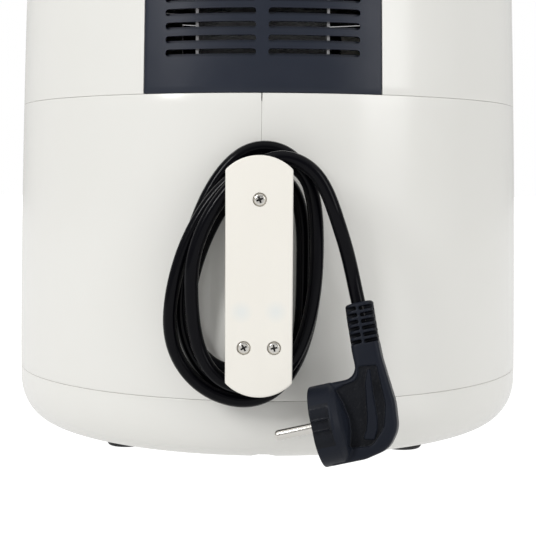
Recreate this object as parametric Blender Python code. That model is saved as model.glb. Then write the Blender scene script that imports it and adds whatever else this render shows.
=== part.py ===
"""Round hot-air fryer with a pull-out pan and a cord wound on a bracket at its back.

Lengths below are in millimetres and MM turns them into Blender's metres. Heights are
above the surface the fryer stands on. Other places are measured from the round body's
axis, which the empty "body_axis" puts AXIS_Y behind the middle of the whole object.
The front, with drawer and knobs, faces -Y. The cord bracket is at the back, +Y.
"""

import math

import bmesh
import bpy
from mathutils import Matrix, Vector

MM = 0.001
TAU = 2 * math.pi
FRONT = -math.pi / 2
BACK = math.pi / 2

# Round body
LOW_SEAM_RADIUS = 148.4
BASE_BOTTOM = 6.0
BASE_CORNER_WIDTH = 21.8
BASE_CORNER_HEIGHT = 26.3
BASE_CORNER_POWER = 2.17
LOW_SEAM = 36.0
HIGH_SEAM = 189.0
SIDE_DROP = 0.001691
SIDE_POWER = 1.5
COVER_SEAM = 262.0
DOME_START = 266.0
BODY_TOP = 325.0
DOME_POWER = 2.5
WALL = 2.5
SEAM_GAP = 0.4
SHELL_STEPS = 48

# Openings in the shells, as half angles about the axis
DRAWER_HALF_ANGLE = math.radians(51.0)
VENT_HALF_ANGLE = math.radians(24.1)
PANEL_HALF_ANGLE = math.radians(27.0)
VENT_TOP = 250.0
PANEL_BOTTOM = 197.0
PANEL_TOP = 255.0

# Chamber, pan and drawer
CHAMBER_Y = -8.0
LINER_HALF_WIDTH = 110.7
LINER_WALL = 1.2
LINER_FRONT = -86.0
LINER_BOTTOM = 39.5
LINER_TOP = 182.0
SILL_BOTTOM = 33.0
SILL_TOP = 35.5
SILL_BACK = -84.0
DECK_BOTTOM = 184.5
DECK_TOP = 187.0
DECK_RADIUS = 141.4
PAN_BOTTOM = 42.0
PAN_FLOOR = 44.0
PAN_TOP = 166.0
PAN_RIM_RADIUS = 107.5
PLATE_RADIUS = 93.0
PLATE_BOTTOM = 52.0
PLATE_THICKNESS = 1.6
PAN_STEPS = 40

# Drawer handle
HANDLE_REACH = 206.0
HANDLE_WIDTH = 28.0
HANDLE_BOTTOM = 74.0
HANDLE_TOP = 158.0
HANDLE_BAR = 14.0
HANDLE_CORNER = 9.0

# Knobs
KNOB_ANGLE = math.radians(13.5)
KNOB_HEIGHT = 226.0
KNOB_RADIUS = 19.5
KNOB_DEPTH = 16.0
STEM_RADIUS = 3.0

# Base
BASE_RIM_FOOT = 28.0
BASE_FLOOR_RADIUS = 128.0
POST_PLACE = 62.0
POST_RADIUS = 5.5
POST_TOP = 39.0
BASE_SCREW_PLACE = 45.0

# Heater and fan
HEATER_LEVEL = 193.0
HEATER_TUBE = 3.0
HEATER_OUTER = 95.0
HEATER_INNER = 78.0
HEATER_START = math.radians(125.0)
HEATER_SWEEP = math.radians(338.0)
FAN_TOP = 206.5
SHAFT_RADIUS = 3.0
BORE_RADIUS = 3.4
TUB_RADIUS = 112.0
TUB_BOTTOM = 183.0
TUB_TOP = 209.0

# Cord bracket
CORD_PLATE_FRONT = 178.4
CORD_PLATE_THICKNESS = 3.2
CORD_PLATE_WIDTH = 31.5
CORD_PLATE_BOTTOM = 44.9
CORD_PLATE_TOP = 158.2
CORD_PLATE_ARC = 21.8
PLATE_SCREWS = ((-0.2, 137.6), (7.0, 68.3), (-7.2, 68.3))
HUB_FOOT = 148.6
HUB_WIDTH = 21.0
HUB_BOTTOM = 62.0
HUB_TOP = 142.0

# Cord: exit beside the hub, turns round it, free end down to the plug
CORD_RADIUS = 3.4
CORD_GAP = 0.3
GLAND_START = -7.0
GLAND_TIP = 13.5
GLAND_HEIGHT = 53.0
GLAND_Y = 153.0
# The free end after it leaves the turns, as (x, y, z)
TAIL_ROUTE = (
    (-33.5, 171.5, 137.0),
    (-36.3, 171.0, 128.2),
    (-39.6, 168.4, 118.8),
    (-43.2, 164.8, 105.7),
    (-46.2, 165.4, 91.6),
)

# Plug: centre of its round face, how far its pins point down and in towards the body,
# and how far its neck leans in
PLUG_FACE = (-27.8, 172.0, 30.0)
PLUG_DROP = math.radians(14.0)
PLUG_INWARD = math.radians(7.7)
PLUG_LEAN = math.radians(10.0)
PLUG_RADIUS = 19.2
PIN_RADIUS = 2.4
PIN_LENGTH = 19.0
PIN_SPACING = 19.0

# Feet
FOOT_PLACE = 76.0
FOOT_RADIUS = 11.0

BRACKET_REACH = CORD_PLATE_FRONT
AXIS_Y = (HANDLE_REACH - BRACKET_REACH) / 2


# ---------------------------------------------------------------- helpers


def clear_scene():
    for obj in list(bpy.data.objects):
        bpy.data.objects.remove(obj, do_unlink=True)


def make_material(name, colour, roughness, metallic=0.0):
    material = bpy.data.materials.new(name)
    material.use_nodes = True
    shader = material.node_tree.nodes["Principled BSDF"]
    shader.inputs["Base Color"].default_value = (*colour, 1.0)
    shader.inputs["Roughness"].default_value = roughness
    shader.inputs["Metallic"].default_value = metallic
    material.diffuse_color = (*colour, 1.0)
    return material


def link_mesh(name, shape):
    """A new object from a bmesh whose lengths are in millimetres."""
    bmesh.ops.scale(shape, vec=(MM, MM, MM), verts=shape.verts)
    bmesh.ops.recalc_face_normals(shape, faces=shape.faces)
    mesh = bpy.data.meshes.new(name)
    shape.to_mesh(mesh)
    shape.free()
    obj = bpy.data.objects.new(name, mesh)
    bpy.context.scene.collection.objects.link(obj)
    return obj


def add(name, shape, material, place=(0, 0, 0), turn=(0, 0, 0), parent=None):
    """One sub-part, shaded smooth except at its sharp edges."""
    obj = link_mesh(name, shape)
    obj.data.materials.append(material)
    obj.data.shade_smooth()
    obj.data.set_sharp_from_angle(angle=math.radians(35))
    obj.location = Vector(place) * MM
    obj.rotation_euler = turn
    obj.parent = parent or BODY_AXIS
    return obj


def boolean(obj, shape, operation, place=(0, 0, 0), turn=(0, 0, 0)):
    """Cuts a shape out of a sub-part, or joins it on."""
    name = f"{obj.name}_{operation.lower()}_{len(obj.modifiers)}"
    tool = link_mesh(name, shape)
    tool.location = Vector(place) * MM
    tool.rotation_euler = turn
    tool.parent = obj.parent
    tool.hide_render = True
    tool.display_type = "WIRE"
    modifier = obj.modifiers.new(name, "BOOLEAN")
    modifier.object = tool
    modifier.operation = operation
    modifier.solver = "EXACT"


def cut(obj, shape, place=(0, 0, 0), turn=(0, 0, 0)):
    boolean(obj, shape, "DIFFERENCE", place, turn)


def join(obj, shape, place=(0, 0, 0), turn=(0, 0, 0)):
    boolean(obj, shape, "UNION", place, turn)


def lathe(outline, steps, start=0.0, sweep=TAU):
    """A closed outline of (radius, height) turned about Z. A part turn gets flat ends."""
    shape = bmesh.new()
    full = sweep > TAU - 1e-6
    poles = {}
    columns = []
    for step in range(steps if full else steps + 1):
        angle = start + sweep * step / steps
        column = []
        for index, (radius, height) in enumerate(outline):
            if radius == 0:
                if index not in poles:
                    poles[index] = shape.verts.new((0, 0, height))
                column.append(poles[index])
                continue
            across = radius * math.cos(angle)
            along = radius * math.sin(angle)
            column.append(shape.verts.new((across, along, height)))
        columns.append(column)
    for step in range(steps):
        near = columns[step]
        far = columns[(step + 1) % len(columns)]
        for index in range(len(outline)):
            after = (index + 1) % len(outline)
            corners = dict.fromkeys((near[index], far[index], far[after], near[after]))
            if len(corners) > 2:
                shape.faces.new(tuple(corners))
    if not full:
        shape.faces.new(columns[0])
        shape.faces.new(tuple(reversed(columns[-1])))
    return shape


def box(low, high):
    """A box between two corners."""
    shape = bmesh.new()
    bmesh.ops.create_cube(shape, size=1.0)
    for vert in shape.verts:
        for axis in range(3):
            vert.co[axis] = high[axis] if vert.co[axis] > 0 else low[axis]
    return shape


def prism(outline, low, high, axes="xyz"):
    """A flat outline pushed from low to high. axes names where its two sides and push point."""
    order = ["xyz".index(letter) for letter in axes]
    shape = bmesh.new()
    ends = []
    for level in (low, high):
        ring = []
        for point in outline:
            place = [0.0, 0.0, 0.0]
            for axis, value in zip(order, (*point, level)):
                place[axis] = value
            ring.append(shape.verts.new(place))
        ends.append(ring)
    shape.faces.new(ends[0])
    shape.faces.new(tuple(reversed(ends[1])))
    for index in range(len(outline)):
        after = (index + 1) % len(outline)
        sides = (ends[0][index], ends[0][after], ends[1][after], ends[1][index])
        shape.faces.new(sides)
    return shape


def tube(name, points, radius, material, resolution, parent=None):
    """A curve object along the points, with a round section and filled caps."""
    curve = bpy.data.curves.new(name, "CURVE")
    curve.dimensions = "3D"
    curve.bevel_depth = radius * MM
    curve.bevel_resolution = resolution
    curve.use_fill_caps = True
    spline = curve.splines.new("POLY")
    spline.points.add(len(points) - 1)
    for target, point in zip(spline.points, points):
        target.co = (*(Vector(point) * MM), 1.0)
    curve.materials.append(material)
    obj = bpy.data.objects.new(name, curve)
    bpy.context.scene.collection.objects.link(obj)
    obj.parent = parent or BODY_AXIS
    return obj


def bevel(obj, width, segments=1):
    modifier = obj.modifiers.new("edges", "BEVEL")
    modifier.width = width * MM
    modifier.segments = segments
    modifier.limit_method = "ANGLE"
    modifier.angle_limit = math.radians(50)


def smooth_route(points, spacing):
    """Points about a spacing apart along the smooth curve through the given points."""
    route = [Vector(point) for point in points]
    padded = [route[0] * 2 - route[1], *route, route[-1] * 2 - route[-2]]
    result = [route[0]]
    for index in range(len(route) - 1):
        before, start, end, after = padded[index : index + 4]
        steps = max(1, round((end - start).length / spacing))
        for step in range(1, steps + 1):
            t = step / steps
            result.append(
                0.5
                * (
                    2 * start
                    + (end - before) * t
                    + (2 * before - 5 * start + 4 * end - after) * t**2
                    + (3 * start - before - 3 * end + after) * t**3
                )
            )
    return result


def quarter(start, end, power, steps, upright):
    """Points after start on a quarter of a superellipse. It leaves start upright or level."""
    points = []
    for step in range(1, steps + 1):
        angle = math.pi / 2 * step / steps
        rise = math.sin(angle) ** (2 / power)
        fall = 1 - math.cos(angle) ** (2 / power)
        across, up = (fall, rise) if upright else (rise, fall)
        points.append(
            (
                start[0] + (end[0] - start[0]) * across,
                start[1] + (end[1] - start[1]) * up,
            )
        )
    return points


def oval(left, top, right, bottom, powers, steps=6):
    """Closed outline through four extreme points, each quarter with its own power."""
    points = quarter(left, top, powers[0], steps, upright=True)
    points += quarter(top, right, powers[1], steps, upright=False)
    points += quarter(right, bottom, powers[2], steps, upright=True)
    points += quarter(bottom, left, powers[3], steps, upright=False)
    return points


def disc(radius, low, high, steps=24):
    return lathe([(0, low), (radius, low), (radius, high), (0, high)], steps)


def ring_shape(inner, outer, low, high, steps):
    return lathe([(inner, low), (outer, low), (outer, high), (inner, high)], steps)


# ---------------------------------------------------------------- the round body


def outer_radius(height):
    """Radius of the outer skin at a height."""
    corner_top = BASE_BOTTOM + BASE_CORNER_HEIGHT
    if height < corner_top:
        down = (corner_top - height) / BASE_CORNER_HEIGHT
        out = max(0.0, 1 - down**BASE_CORNER_POWER) ** (1 / BASE_CORNER_POWER)
        return LOW_SEAM_RADIUS - BASE_CORNER_WIDTH * (1 - out)
    side = LOW_SEAM_RADIUS - SIDE_DROP * max(0.0, height - LOW_SEAM) ** SIDE_POWER
    if height <= DOME_START:
        return side
    rise = (height - DOME_START) / (BODY_TOP - DOME_START)
    start = LOW_SEAM_RADIUS - SIDE_DROP * (DOME_START - LOW_SEAM) ** SIDE_POWER
    return start * max(0.0, 1 - rise**DOME_POWER) ** (1 / DOME_POWER)


def wall_outline(low, high, steps, wall=WALL):
    """Closed outline of a wall that follows the outer skin."""
    heights = [low + (high - low) * step / steps for step in range(steps + 1)]
    outside = [(outer_radius(height), height) for height in heights]
    inside = [(radius - wall, height) for radius, height in reversed(outside)]
    return outside + inside


def sector(low, high, middle, half_angle, steps, rise_steps, wall=WALL):
    """A piece of the wall between two heights, half_angle to each side of middle."""
    outline = wall_outline(low, high, rise_steps, wall)
    return lathe(outline, steps, middle - half_angle, 2 * half_angle)


def make_base_pan():
    corner_steps = 6
    outside = [(0, BASE_BOTTOM)]
    for step in range(corner_steps + 1):
        angle = math.pi / 2 * step / corner_steps
        up = 1 - math.cos(angle) ** (2 / BASE_CORNER_POWER)
        height = BASE_BOTTOM + BASE_CORNER_HEIGHT * up
        out = math.sin(angle) ** (2 / BASE_CORNER_POWER)
        outside.append((LOW_SEAM_RADIUS - BASE_CORNER_WIDTH * (1 - out), height))
    top = LOW_SEAM - SEAM_GAP / 2
    rim = LOW_SEAM_RADIUS - WALL
    floor = BASE_BOTTOM + WALL
    inside = [(LOW_SEAM_RADIUS, top), (rim, top), (rim, BASE_RIM_FOOT),
              (BASE_FLOOR_RADIUS, floor), (0, floor)]
    base = add("base_pan", lathe(outside + inside, SHELL_STEPS), WHITE)
    for x, y in corner_places(POST_PLACE):
        join(base, disc(POST_RADIUS, floor - 1, POST_TOP, 10), place=(x, y, 0))


def corner_places(reach):
    return [(x, y) for x in (-reach, reach) for y in (-reach, reach)]


def make_housings():
    """Two side walls that meet at the back seam and leave the drawer's opening."""
    low = LOW_SEAM + SEAM_GAP / 2
    high = HIGH_SEAM - SEAM_GAP / 2
    edge = DRAWER_HALF_ANGLE + math.radians(0.2)
    seam = SEAM_GAP / 2 / LOW_SEAM_RADIUS
    outline = wall_outline(low, high, 4)
    sweep = BACK - seam - (FRONT + edge)
    steps = 22
    add("housing_right", lathe(outline, steps, FRONT + edge, sweep), WHITE)
    add("housing_left", lathe(outline, steps, BACK + seam, sweep), WHITE)


def make_upper_housing():
    low = HIGH_SEAM + SEAM_GAP / 2
    high = COVER_SEAM - SEAM_GAP / 2
    shell = add("upper_housing", lathe(wall_outline(low, high, 3), SHELL_STEPS), WHITE)
    cut_window(shell, BACK, VENT_HALF_ANGLE, low - 5, VENT_TOP)
    cut_window(shell, FRONT, PANEL_HALF_ANGLE, PANEL_BOTTOM, PANEL_TOP)


def cut_window(shell, middle, half_angle, low, high):
    """An opening through the round wall, a little wider than the piece that fills it."""
    half = half_angle + math.radians(0.15)
    inside, outside = (LOW_SEAM_RADIUS - 18, LOW_SEAM_RADIUS + 12)
    outline = [(inside, low), (outside, low), (outside, high), (inside, high)]
    cut(shell, lathe(outline, 6, middle - half, 2 * half))


def make_top_cover():
    steps = 9
    low = COVER_SEAM + SEAM_GAP / 2
    outside = [(outer_radius(low), low)]
    for step in range(1, steps):
        angle = math.pi / 2 * step / steps
        height = DOME_START + (BODY_TOP - DOME_START) * math.sin(angle) ** (2 / DOME_POWER)
        outside.append((outer_radius(height), height))
    inside = [(r - WALL, max(low, z - WALL)) for r, z in outside[:-1:2]]
    outline = outside + [(0, BODY_TOP), (0, BODY_TOP - WALL)] + inside[::-1]
    add("top_cover", lathe(outline, SHELL_STEPS), WHITE)


def make_vent():
    gap = math.radians(0.05)
    low = HIGH_SEAM + SEAM_GAP / 2
    shape = sector(low, VENT_TOP - 0.4, BACK, VENT_HALF_ANGLE - gap, 12, 2)
    vent = add("vent_grille", shape, BLACK)
    slot_height = 3.5
    for row in range(6):
        height = 207.0 + 6.6 * row
        for side in (-1, 1):
            low_x, high_x = sorted((side * 3.0, side * 48.0))
            cut(vent, box((low_x, 120, height), (high_x, 160, height + slot_height)))


def make_control_panel():
    gap = math.radians(0.05)
    half = PANEL_HALF_ANGLE - gap
    shape = sector(PANEL_BOTTOM + 0.4, PANEL_TOP - 0.4, FRONT, half, 12, 2)
    panel = add("control_panel", shape, DARK)
    for name, angle in KNOBS:
        cut(panel, disc(STEM_RADIUS + 1, -20, 20, 12), knob_place(angle, 0), knob_turn(angle))
    for name, height in LAMPS:
        cut(panel, disc(2.4, -20, 20, 10), (0, -outer_radius(height), height), (BACK, 0, 0))


def make_lamps():
    for name, height in LAMPS:
        place = (0, -outer_radius(height), height)
        shape = lathe([(0, -4), (2.0, -4), (2.0, 0.3), (1.2, 0.8), (0, 0.8)], 10)
        add(name, shape, LENS, place, (BACK, 0, 0))


# ---------------------------------------------------------------- knobs


def knob_place(angle, out):
    """A point on a knob's axis, out millimetres from the skin."""
    radius = outer_radius(KNOB_HEIGHT) + out
    return (radius * math.cos(angle), radius * math.sin(angle), KNOB_HEIGHT)


def knob_turn(angle):
    """Turns local Z to point outwards, level."""
    return (0, math.pi / 2, angle)


def make_knobs():
    gap = 1.4
    skirt = 6.0
    for name, angle in KNOBS:
        outline = [
            (0, -12.0),
            (STEM_RADIUS, -12.0),
            (STEM_RADIUS, gap),
            (KNOB_RADIUS, gap),
            (KNOB_RADIUS - 0.6, gap + skirt),
            (KNOB_RADIUS - 3.0, gap + skirt + 1.2),
            (0, gap + skirt + 1.2),
        ]
        knob = add(name, lathe(outline, 32), GREY, knob_place(angle, 0), knob_turn(angle))
        grip = box((-KNOB_RADIUS + 3.5, -3.6, skirt), (KNOB_RADIUS - 3.5, 3.6, KNOB_DEPTH))
        join(knob, grip, knob_place(angle, 0), knob_turn(angle))


def make_knob_units():
    """The bodies that the knobs' stems reach into."""
    for name, angle in UNITS:
        low, high = ((-17, -17, -42), (17, 17, -12.6))
        add(name, box(low, high), STEEL, knob_place(angle, 0), knob_turn(angle))


# ---------------------------------------------------------------- drawer


def make_drawer_front(parent):
    low = LOW_SEAM + SEAM_GAP
    high = HIGH_SEAM - SEAM_GAP
    shape = sector(low, high, FRONT, DRAWER_HALF_ANGLE, 18, 4, wall=3.0)
    add("drawer_front", shape, WHITE, parent=parent)


def make_pan(parent):
    outside = [(0, PAN_BOTTOM), (89.0, PAN_BOTTOM), (96.0, 44.5), (100.0, 52.0),
               (104.0, 160.0)]
    rim = [(PAN_RIM_RADIUS, 163.5), (PAN_RIM_RADIUS, PAN_TOP), (103.5, PAN_TOP)]
    inside = [(101.8, 160.0), (98.0, 53.0), (94.5, 46.5), (88.0, PAN_FLOOR), (0, PAN_FLOOR)]
    pan = lathe(outside + rim + inside, PAN_STEPS)
    add("pan", pan, COATED, (0, CHAMBER_Y, 0), parent=parent)


def make_pan_bracket(parent):
    low = (-18.0, -141.5, 112.0)
    high = (18.0, -113.6, 156.0)
    add("pan_bracket", box(low, high), BLACK, parent=parent)


def rounded_profile(corners, radius, steps=4):
    """Outline through (y, z) corners, each rounded off by an arc-like curve."""
    points = []
    count = len(corners)
    for index, corner in enumerate(corners):
        here = Vector(corner)
        to_last = (Vector(corners[index - 1]) - here).normalized() * radius
        to_next = (Vector(corners[(index + 1) % count]) - here).normalized() * radius
        for step in range(steps + 1):
            t = step / steps
            points.append(tuple(here + to_last * (1 - t) ** 2 + to_next * t**2))
    return points


def make_handle(parent):
    """A loop handle: bar, two arms, and a soft insert where the fingers pull."""
    half = HANDLE_WIDTH / 2
    front = -HANDLE_REACH
    low_root = -outer_radius(HANDLE_BOTTOM) - 0.5
    high_root = -outer_radius(HANDLE_TOP) - 0.5
    bar_back = front + HANDLE_BAR
    outer = rounded_profile(
        [(low_root - 20, HANDLE_BOTTOM), (front, HANDLE_BOTTOM), (front, HANDLE_TOP),
         (high_root - 20, HANDLE_TOP)],
        HANDLE_CORNER,
    )[3:-3]
    inner = rounded_profile(
        [(high_root - 20, HANDLE_TOP - HANDLE_BAR), (bar_back, HANDLE_TOP - HANDLE_BAR),
         (bar_back, HANDLE_BOTTOM + HANDLE_BAR), (low_root - 20, HANDLE_BOTTOM + HANDLE_BAR)],
        HANDLE_CORNER * 0.6,
    )[3:-3]
    roots_top = [(high_root, HANDLE_TOP), (high_root, HANDLE_TOP - HANDLE_BAR)]
    roots_low = [(low_root, HANDLE_BOTTOM + HANDLE_BAR), (low_root, HANDLE_BOTTOM)]
    outline = outer + roots_top + inner + roots_low
    handle = add("handle", prism(outline, -half, half, "yzx"), WHITE, parent=parent)
    bevel(handle, 3.0, 2)
    insert_low = HANDLE_BOTTOM + HANDLE_BAR + 7
    insert_high = HANDLE_TOP - HANDLE_BAR - 7
    low = (-half + 3, bar_back + 0.3, insert_low)
    high = (half - 3, bar_back + 3.0, insert_high)
    insert = add("handle_insert", box(low, high), GREY, parent=parent)
    for name, height in (("handle_screw_upper", 126.0), ("handle_screw_lower", 106.0)):
        place = (0, bar_back, height)
        cut(insert, disc(1.9, -1, 6, 10), place, (-BACK, 0, 0))
        screw = screw_shape(head_radius=3.4, head=1.6, shank_radius=1.5, shank=2.3)
        place = (0, bar_back + 3.3, height)
        add(name, screw, BRIGHT, place, (-BACK, 0, 0), parent)


def screw_shape(head_radius, head, shank_radius, shank):
    """A screw along Z, its head above the plane of zero height and its shank below."""
    outline = [
        (0, -shank),
        (shank_radius, -shank),
        (shank_radius, 0),
        (head_radius, 0),
        (head_radius, head * 0.55),
        (head_radius * 0.72, head),
        (0, head),
    ]
    return lathe(outline, 12)


def make_crisper(parent):
    """A perforated plate that keeps food off the pan's floor, on four silicone bumpers."""
    top = PLATE_BOTTOM + PLATE_THICKNESS
    outline = [(13.0, PLATE_BOTTOM), (PLATE_RADIUS, PLATE_BOTTOM),
               (PLATE_RADIUS, top + 4), (PLATE_RADIUS - 1.6, top + 4),
               (PLATE_RADIUS - 1.6, top), (13.0, top)]
    plate = add("crisper_plate", lathe(outline, 36), COATED, (0, CHAMBER_Y, 0), parent=parent)
    slot = box((32.0, -3.0, PLATE_BOTTOM - 2), (76.0, 3.0, top + 2))
    for index in range(8):
        cut(plate, slot.copy(), (0, CHAMBER_Y, 0), (0, 0, TAU * (index + 0.5) / 8))
    slot.free()
    for index in range(4):
        outline = [(PLATE_RADIUS + 0.3, PLATE_BOTTOM - 3), (PLATE_RADIUS + 3.4, PLATE_BOTTOM - 1),
                   (PLATE_RADIUS + 3.4, top + 3), (PLATE_RADIUS + 0.3, top + 4)]
        start = TAU * index / 4 - math.radians(5)
        shape = lathe(outline, 2, start, math.radians(10))
        add(f"plate_bumper_{index + 1}", shape, RUBBER, (0, CHAMBER_Y, 0), parent=parent)


# ---------------------------------------------------------------- chamber, heater, fan


def liner_outline(half_width, front):
    """Plan of the chamber: straight sides and a half-round back."""
    steps = 18
    points = [(half_width, front)]
    for step in range(steps + 1):
        angle = math.pi * step / steps
        x = half_width * math.cos(angle)
        points.append((x, CHAMBER_Y + half_width * math.sin(angle)))
    points.append((-half_width, front))
    return points


def make_chamber_liner():
    outline = liner_outline(LINER_HALF_WIDTH, LINER_FRONT)
    liner = add("chamber_liner", prism(outline, LINER_BOTTOM, LINER_TOP), STEEL)
    inner = liner_outline(LINER_HALF_WIDTH - LINER_WALL, LINER_FRONT - 20)
    cut(liner, prism(inner, LINER_BOTTOM + LINER_WALL, LINER_TOP + 20))


def make_drawer_sill():
    """A flat shelf in front of the chamber, under the drawer, that hides the base."""
    half = math.acos(-SILL_BACK / (DECK_RADIUS + WALL))
    radius = DECK_RADIUS + WALL
    steps = 20
    outline = []
    for step in range(steps + 1):
        angle = FRONT - half + 2 * half * step / steps
        outline.append((radius * math.cos(angle), radius * math.sin(angle)))
    add("drawer_sill", prism(outline, SILL_BOTTOM, SILL_TOP), GREY)


def make_upper_deck():
    """A plate round the roof that parts the drawer's space from the space above."""
    deck = add("upper_deck", disc(DECK_RADIUS, DECK_BOTTOM, DECK_TOP, SHELL_STEPS), STEEL)
    hole = disc(TUB_RADIUS + 1, DECK_BOTTOM - 5, DECK_TOP + 5, PAN_STEPS)
    cut(deck, hole, (0, CHAMBER_Y, 0))


def make_heater_tub():
    """The metal roof over the chamber, which holds heater and fan."""
    outline = [
        (SHAFT_RADIUS + 2, TUB_TOP - 1),
        (TUB_RADIUS - 6, TUB_TOP - 1),
        (TUB_RADIUS - 1, TUB_TOP - 6),
        (TUB_RADIUS - 1, TUB_BOTTOM),
        (TUB_RADIUS, TUB_BOTTOM),
        (TUB_RADIUS, TUB_TOP - 5.6),
        (TUB_RADIUS - 5.6, TUB_TOP),
        (SHAFT_RADIUS + 2, TUB_TOP),
    ]
    tub = add("heater_tub", lathe(outline, PAN_STEPS), STEEL, (0, CHAMBER_Y, 0))
    cut(tub, box((-30, 90, TUB_BOTTOM + 5), (30, 120, TUB_TOP - 7)))
    hole = HEATER_TUBE + 1.2
    for radius in (HEATER_OUTER, HEATER_INNER):
        x, y, _ = heater_point(radius, HEATER_START, 0)
        cut(tub, disc(hole, TUB_TOP - 5, TUB_TOP + 5, 10), (x, CHAMBER_Y + y, 0))


def heater_point(radius, angle, height):
    return (radius * math.cos(angle), radius * math.sin(angle), height)


def make_heater_element():
    """A tube bent nearly once round, then back round inside itself, its ends up through the roof."""
    lift = [TUB_TOP + 6, TUB_TOP - 5, HEATER_LEVEL + 5]
    steps = 34
    outer = [heater_point(HEATER_OUTER, HEATER_START, height) for height in lift]
    inner = [heater_point(HEATER_INNER, HEATER_START, height) for height in lift]
    for step in range(steps + 1):
        angle = HEATER_START + math.radians(4) + (HEATER_SWEEP - math.radians(4)) * step / steps
        outer.append(heater_point(HEATER_OUTER, angle, HEATER_LEVEL))
        inner.append(heater_point(HEATER_INNER, angle, HEATER_LEVEL))
    points = outer + hairpin() + inner[::-1]
    heater = tube("heater_element", points, HEATER_TUBE, HEATER, 1)
    heater.location = Vector((0, CHAMBER_Y, 0)) * MM


def hairpin():
    """The half circle that joins the heater's outer turn to its inner one."""
    end = HEATER_START + HEATER_SWEEP
    middle = (HEATER_OUTER + HEATER_INNER) / 2
    bend = (HEATER_OUTER - HEATER_INNER) / 2
    steps = 6
    points = []
    for step in range(1, steps):
        turned = math.pi * step / steps
        radius = middle + bend * math.cos(turned)
        angle = end + bend * math.sin(turned) / middle
        points.append(heater_point(radius, angle, HEATER_LEVEL))
    return points


def make_heater_guard():
    """A flat grille of rings and spokes under the heater."""
    low = TUB_BOTTOM + 0.6
    high = low + 1.6
    guard = add("heater_guard", ring_shape(104, 107.5, low, high, 30), STEEL, (0, CHAMBER_Y, 0))
    for radius in (24.0, 64.0):
        join(guard, ring_shape(radius, radius + 2.4, low, high, 20), (0, CHAMBER_Y, 0))
    for index in range(3):
        spoke = box((23.5, -1.5, low + 0.2), (106.0, 1.5, high - 0.2))
        join(guard, spoke, (0, CHAMBER_Y, 0), (0, 0, TAU * index / 3 + 0.5))


def fan_shape(name, hub_radius, blade_radius, low, high, blades, disc_low, disc_high):
    """A fan with upright blades on a disc and a bored hub."""
    outline = [
        (BORE_RADIUS, low),
        (hub_radius, low),
        (hub_radius, disc_low),
        (blade_radius, disc_low),
        (blade_radius, disc_high),
        (hub_radius, disc_high),
        (hub_radius, high),
        (BORE_RADIUS, high),
    ]
    fan = add(name, lathe(outline, 24), ALUMINIUM, parent=ROTOR_AXIS)
    for index in range(blades):
        blade = box((hub_radius * 1.6, -0.7, low + 0.3), (blade_radius - 1, 0.7, disc_low + 0.5))
        join(fan, blade, turn=(0, 0, TAU * index / blades))


def make_rotor():
    """Everything that spins: shaft, both fans and the nut."""
    shaft = disc(SHAFT_RADIUS, 192.6, 268.0, 16)
    add("motor_shaft", shaft, BRIGHT, parent=ROTOR_AXIS)
    fan_shape("hot_air_fan", 9.0, 62.0, 196.3, FAN_TOP - 0.2, 8, 204.6, 205.8)
    fan_shape("cooling_fan", 9.0, 46.0, 253.0, 263.0, 8, 261.4, 262.6)
    bore = BORE_RADIUS / math.cos(math.pi / 6)
    outline = [(0, 190.4), (6.0, 190.4), (6.0, 196.0), (bore, 196.0), (bore, 192.2), (0, 192.2)]
    add("fan_nut", lathe(outline, 6), BRASS, parent=ROTOR_AXIS)


def make_motor():
    outline = [
        (BORE_RADIUS + 0.3, 214.0),
        (20.0, 214.0),
        (29.0, 218.0),
        (29.0, 244.0),
        (20.0, 248.0),
        (BORE_RADIUS + 0.3, 248.0),
    ]
    add("motor_body", lathe(outline, 24), STEEL, (0, CHAMBER_Y, 0))
    bracket = box((-48.0, -14.0, 210.0), (48.0, 14.0, 212.0))
    plate = add("motor_bracket", bracket, STEEL, (0, CHAMBER_Y, 0))
    cut(plate, disc(BORE_RADIUS + 2, 205, 220, 16), (0, CHAMBER_Y, 0))
    add("thermal_fuse", box((-8, 34, 210.0), (8, 44, 216.0)), CERAMIC, (0, CHAMBER_Y, 0))


def make_outlet_duct():
    """A sleeve that carries used air from the roof's back up to the vent."""
    shape = bmesh.new()
    near = CHAMBER_Y + TUB_RADIUS + 1.0
    ends = ((near, 189.5, 200.5), (136.2, 205.0, 243.0))
    loops = []
    for y, low, high in ends:
        for inset in (0.0, 1.4):
            half = 33.0 - inset
            corners = ((-half, low + inset), (half, low + inset),
                       (half, high - inset), (-half, high - inset))
            loops.append([shape.verts.new((x, y, z)) for x, z in corners])
    near_out, near_in, far_out, far_in = loops
    for index in range(4):
        after = (index + 1) % 4
        shape.faces.new((near_out[index], near_out[after], far_out[after], far_out[index]))
        shape.faces.new((near_in[after], near_in[index], far_in[index], far_in[after]))
        shape.faces.new((near_out[after], near_out[index], near_in[index], near_in[after]))
        shape.faces.new((far_out[index], far_out[after], far_in[after], far_in[index]))
    add("outlet_duct", shape, STEEL)


def make_electrics():
    add("drawer_switch", box((87.0, -97.0, 191.0), (97.0, -83.0, 199.0)), GREY)
    add("terminal_block", box((-70.0, 84.0, 212.0), (-40.0, 98.0, 226.0)), CERAMIC)


# ---------------------------------------------------------------- feet and base screws


def make_feet():
    outline = [(0, 0), (FOOT_RADIUS - 1, 0), (FOOT_RADIUS, 1.0),
               (FOOT_RADIUS, BASE_BOTTOM - 0.3), (0, BASE_BOTTOM - 0.3)]
    for index, (x, y) in enumerate(corner_places(FOOT_PLACE)):
        add(f"foot_{index + 1}", lathe(outline, 20), RUBBER, (x, y, 0))


def make_base_screws():
    for index, (x, y) in enumerate(corner_places(BASE_SCREW_PLACE)):
        screw = screw_shape(head_radius=4.0, head=1.8, shank_radius=1.6, shank=0.5)
        add(f"base_screw_{index + 1}", screw, BRIGHT, (x, y, BASE_BOTTOM - 0.8), (math.pi, 0, 0))


# ---------------------------------------------------------------- cord bracket


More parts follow.
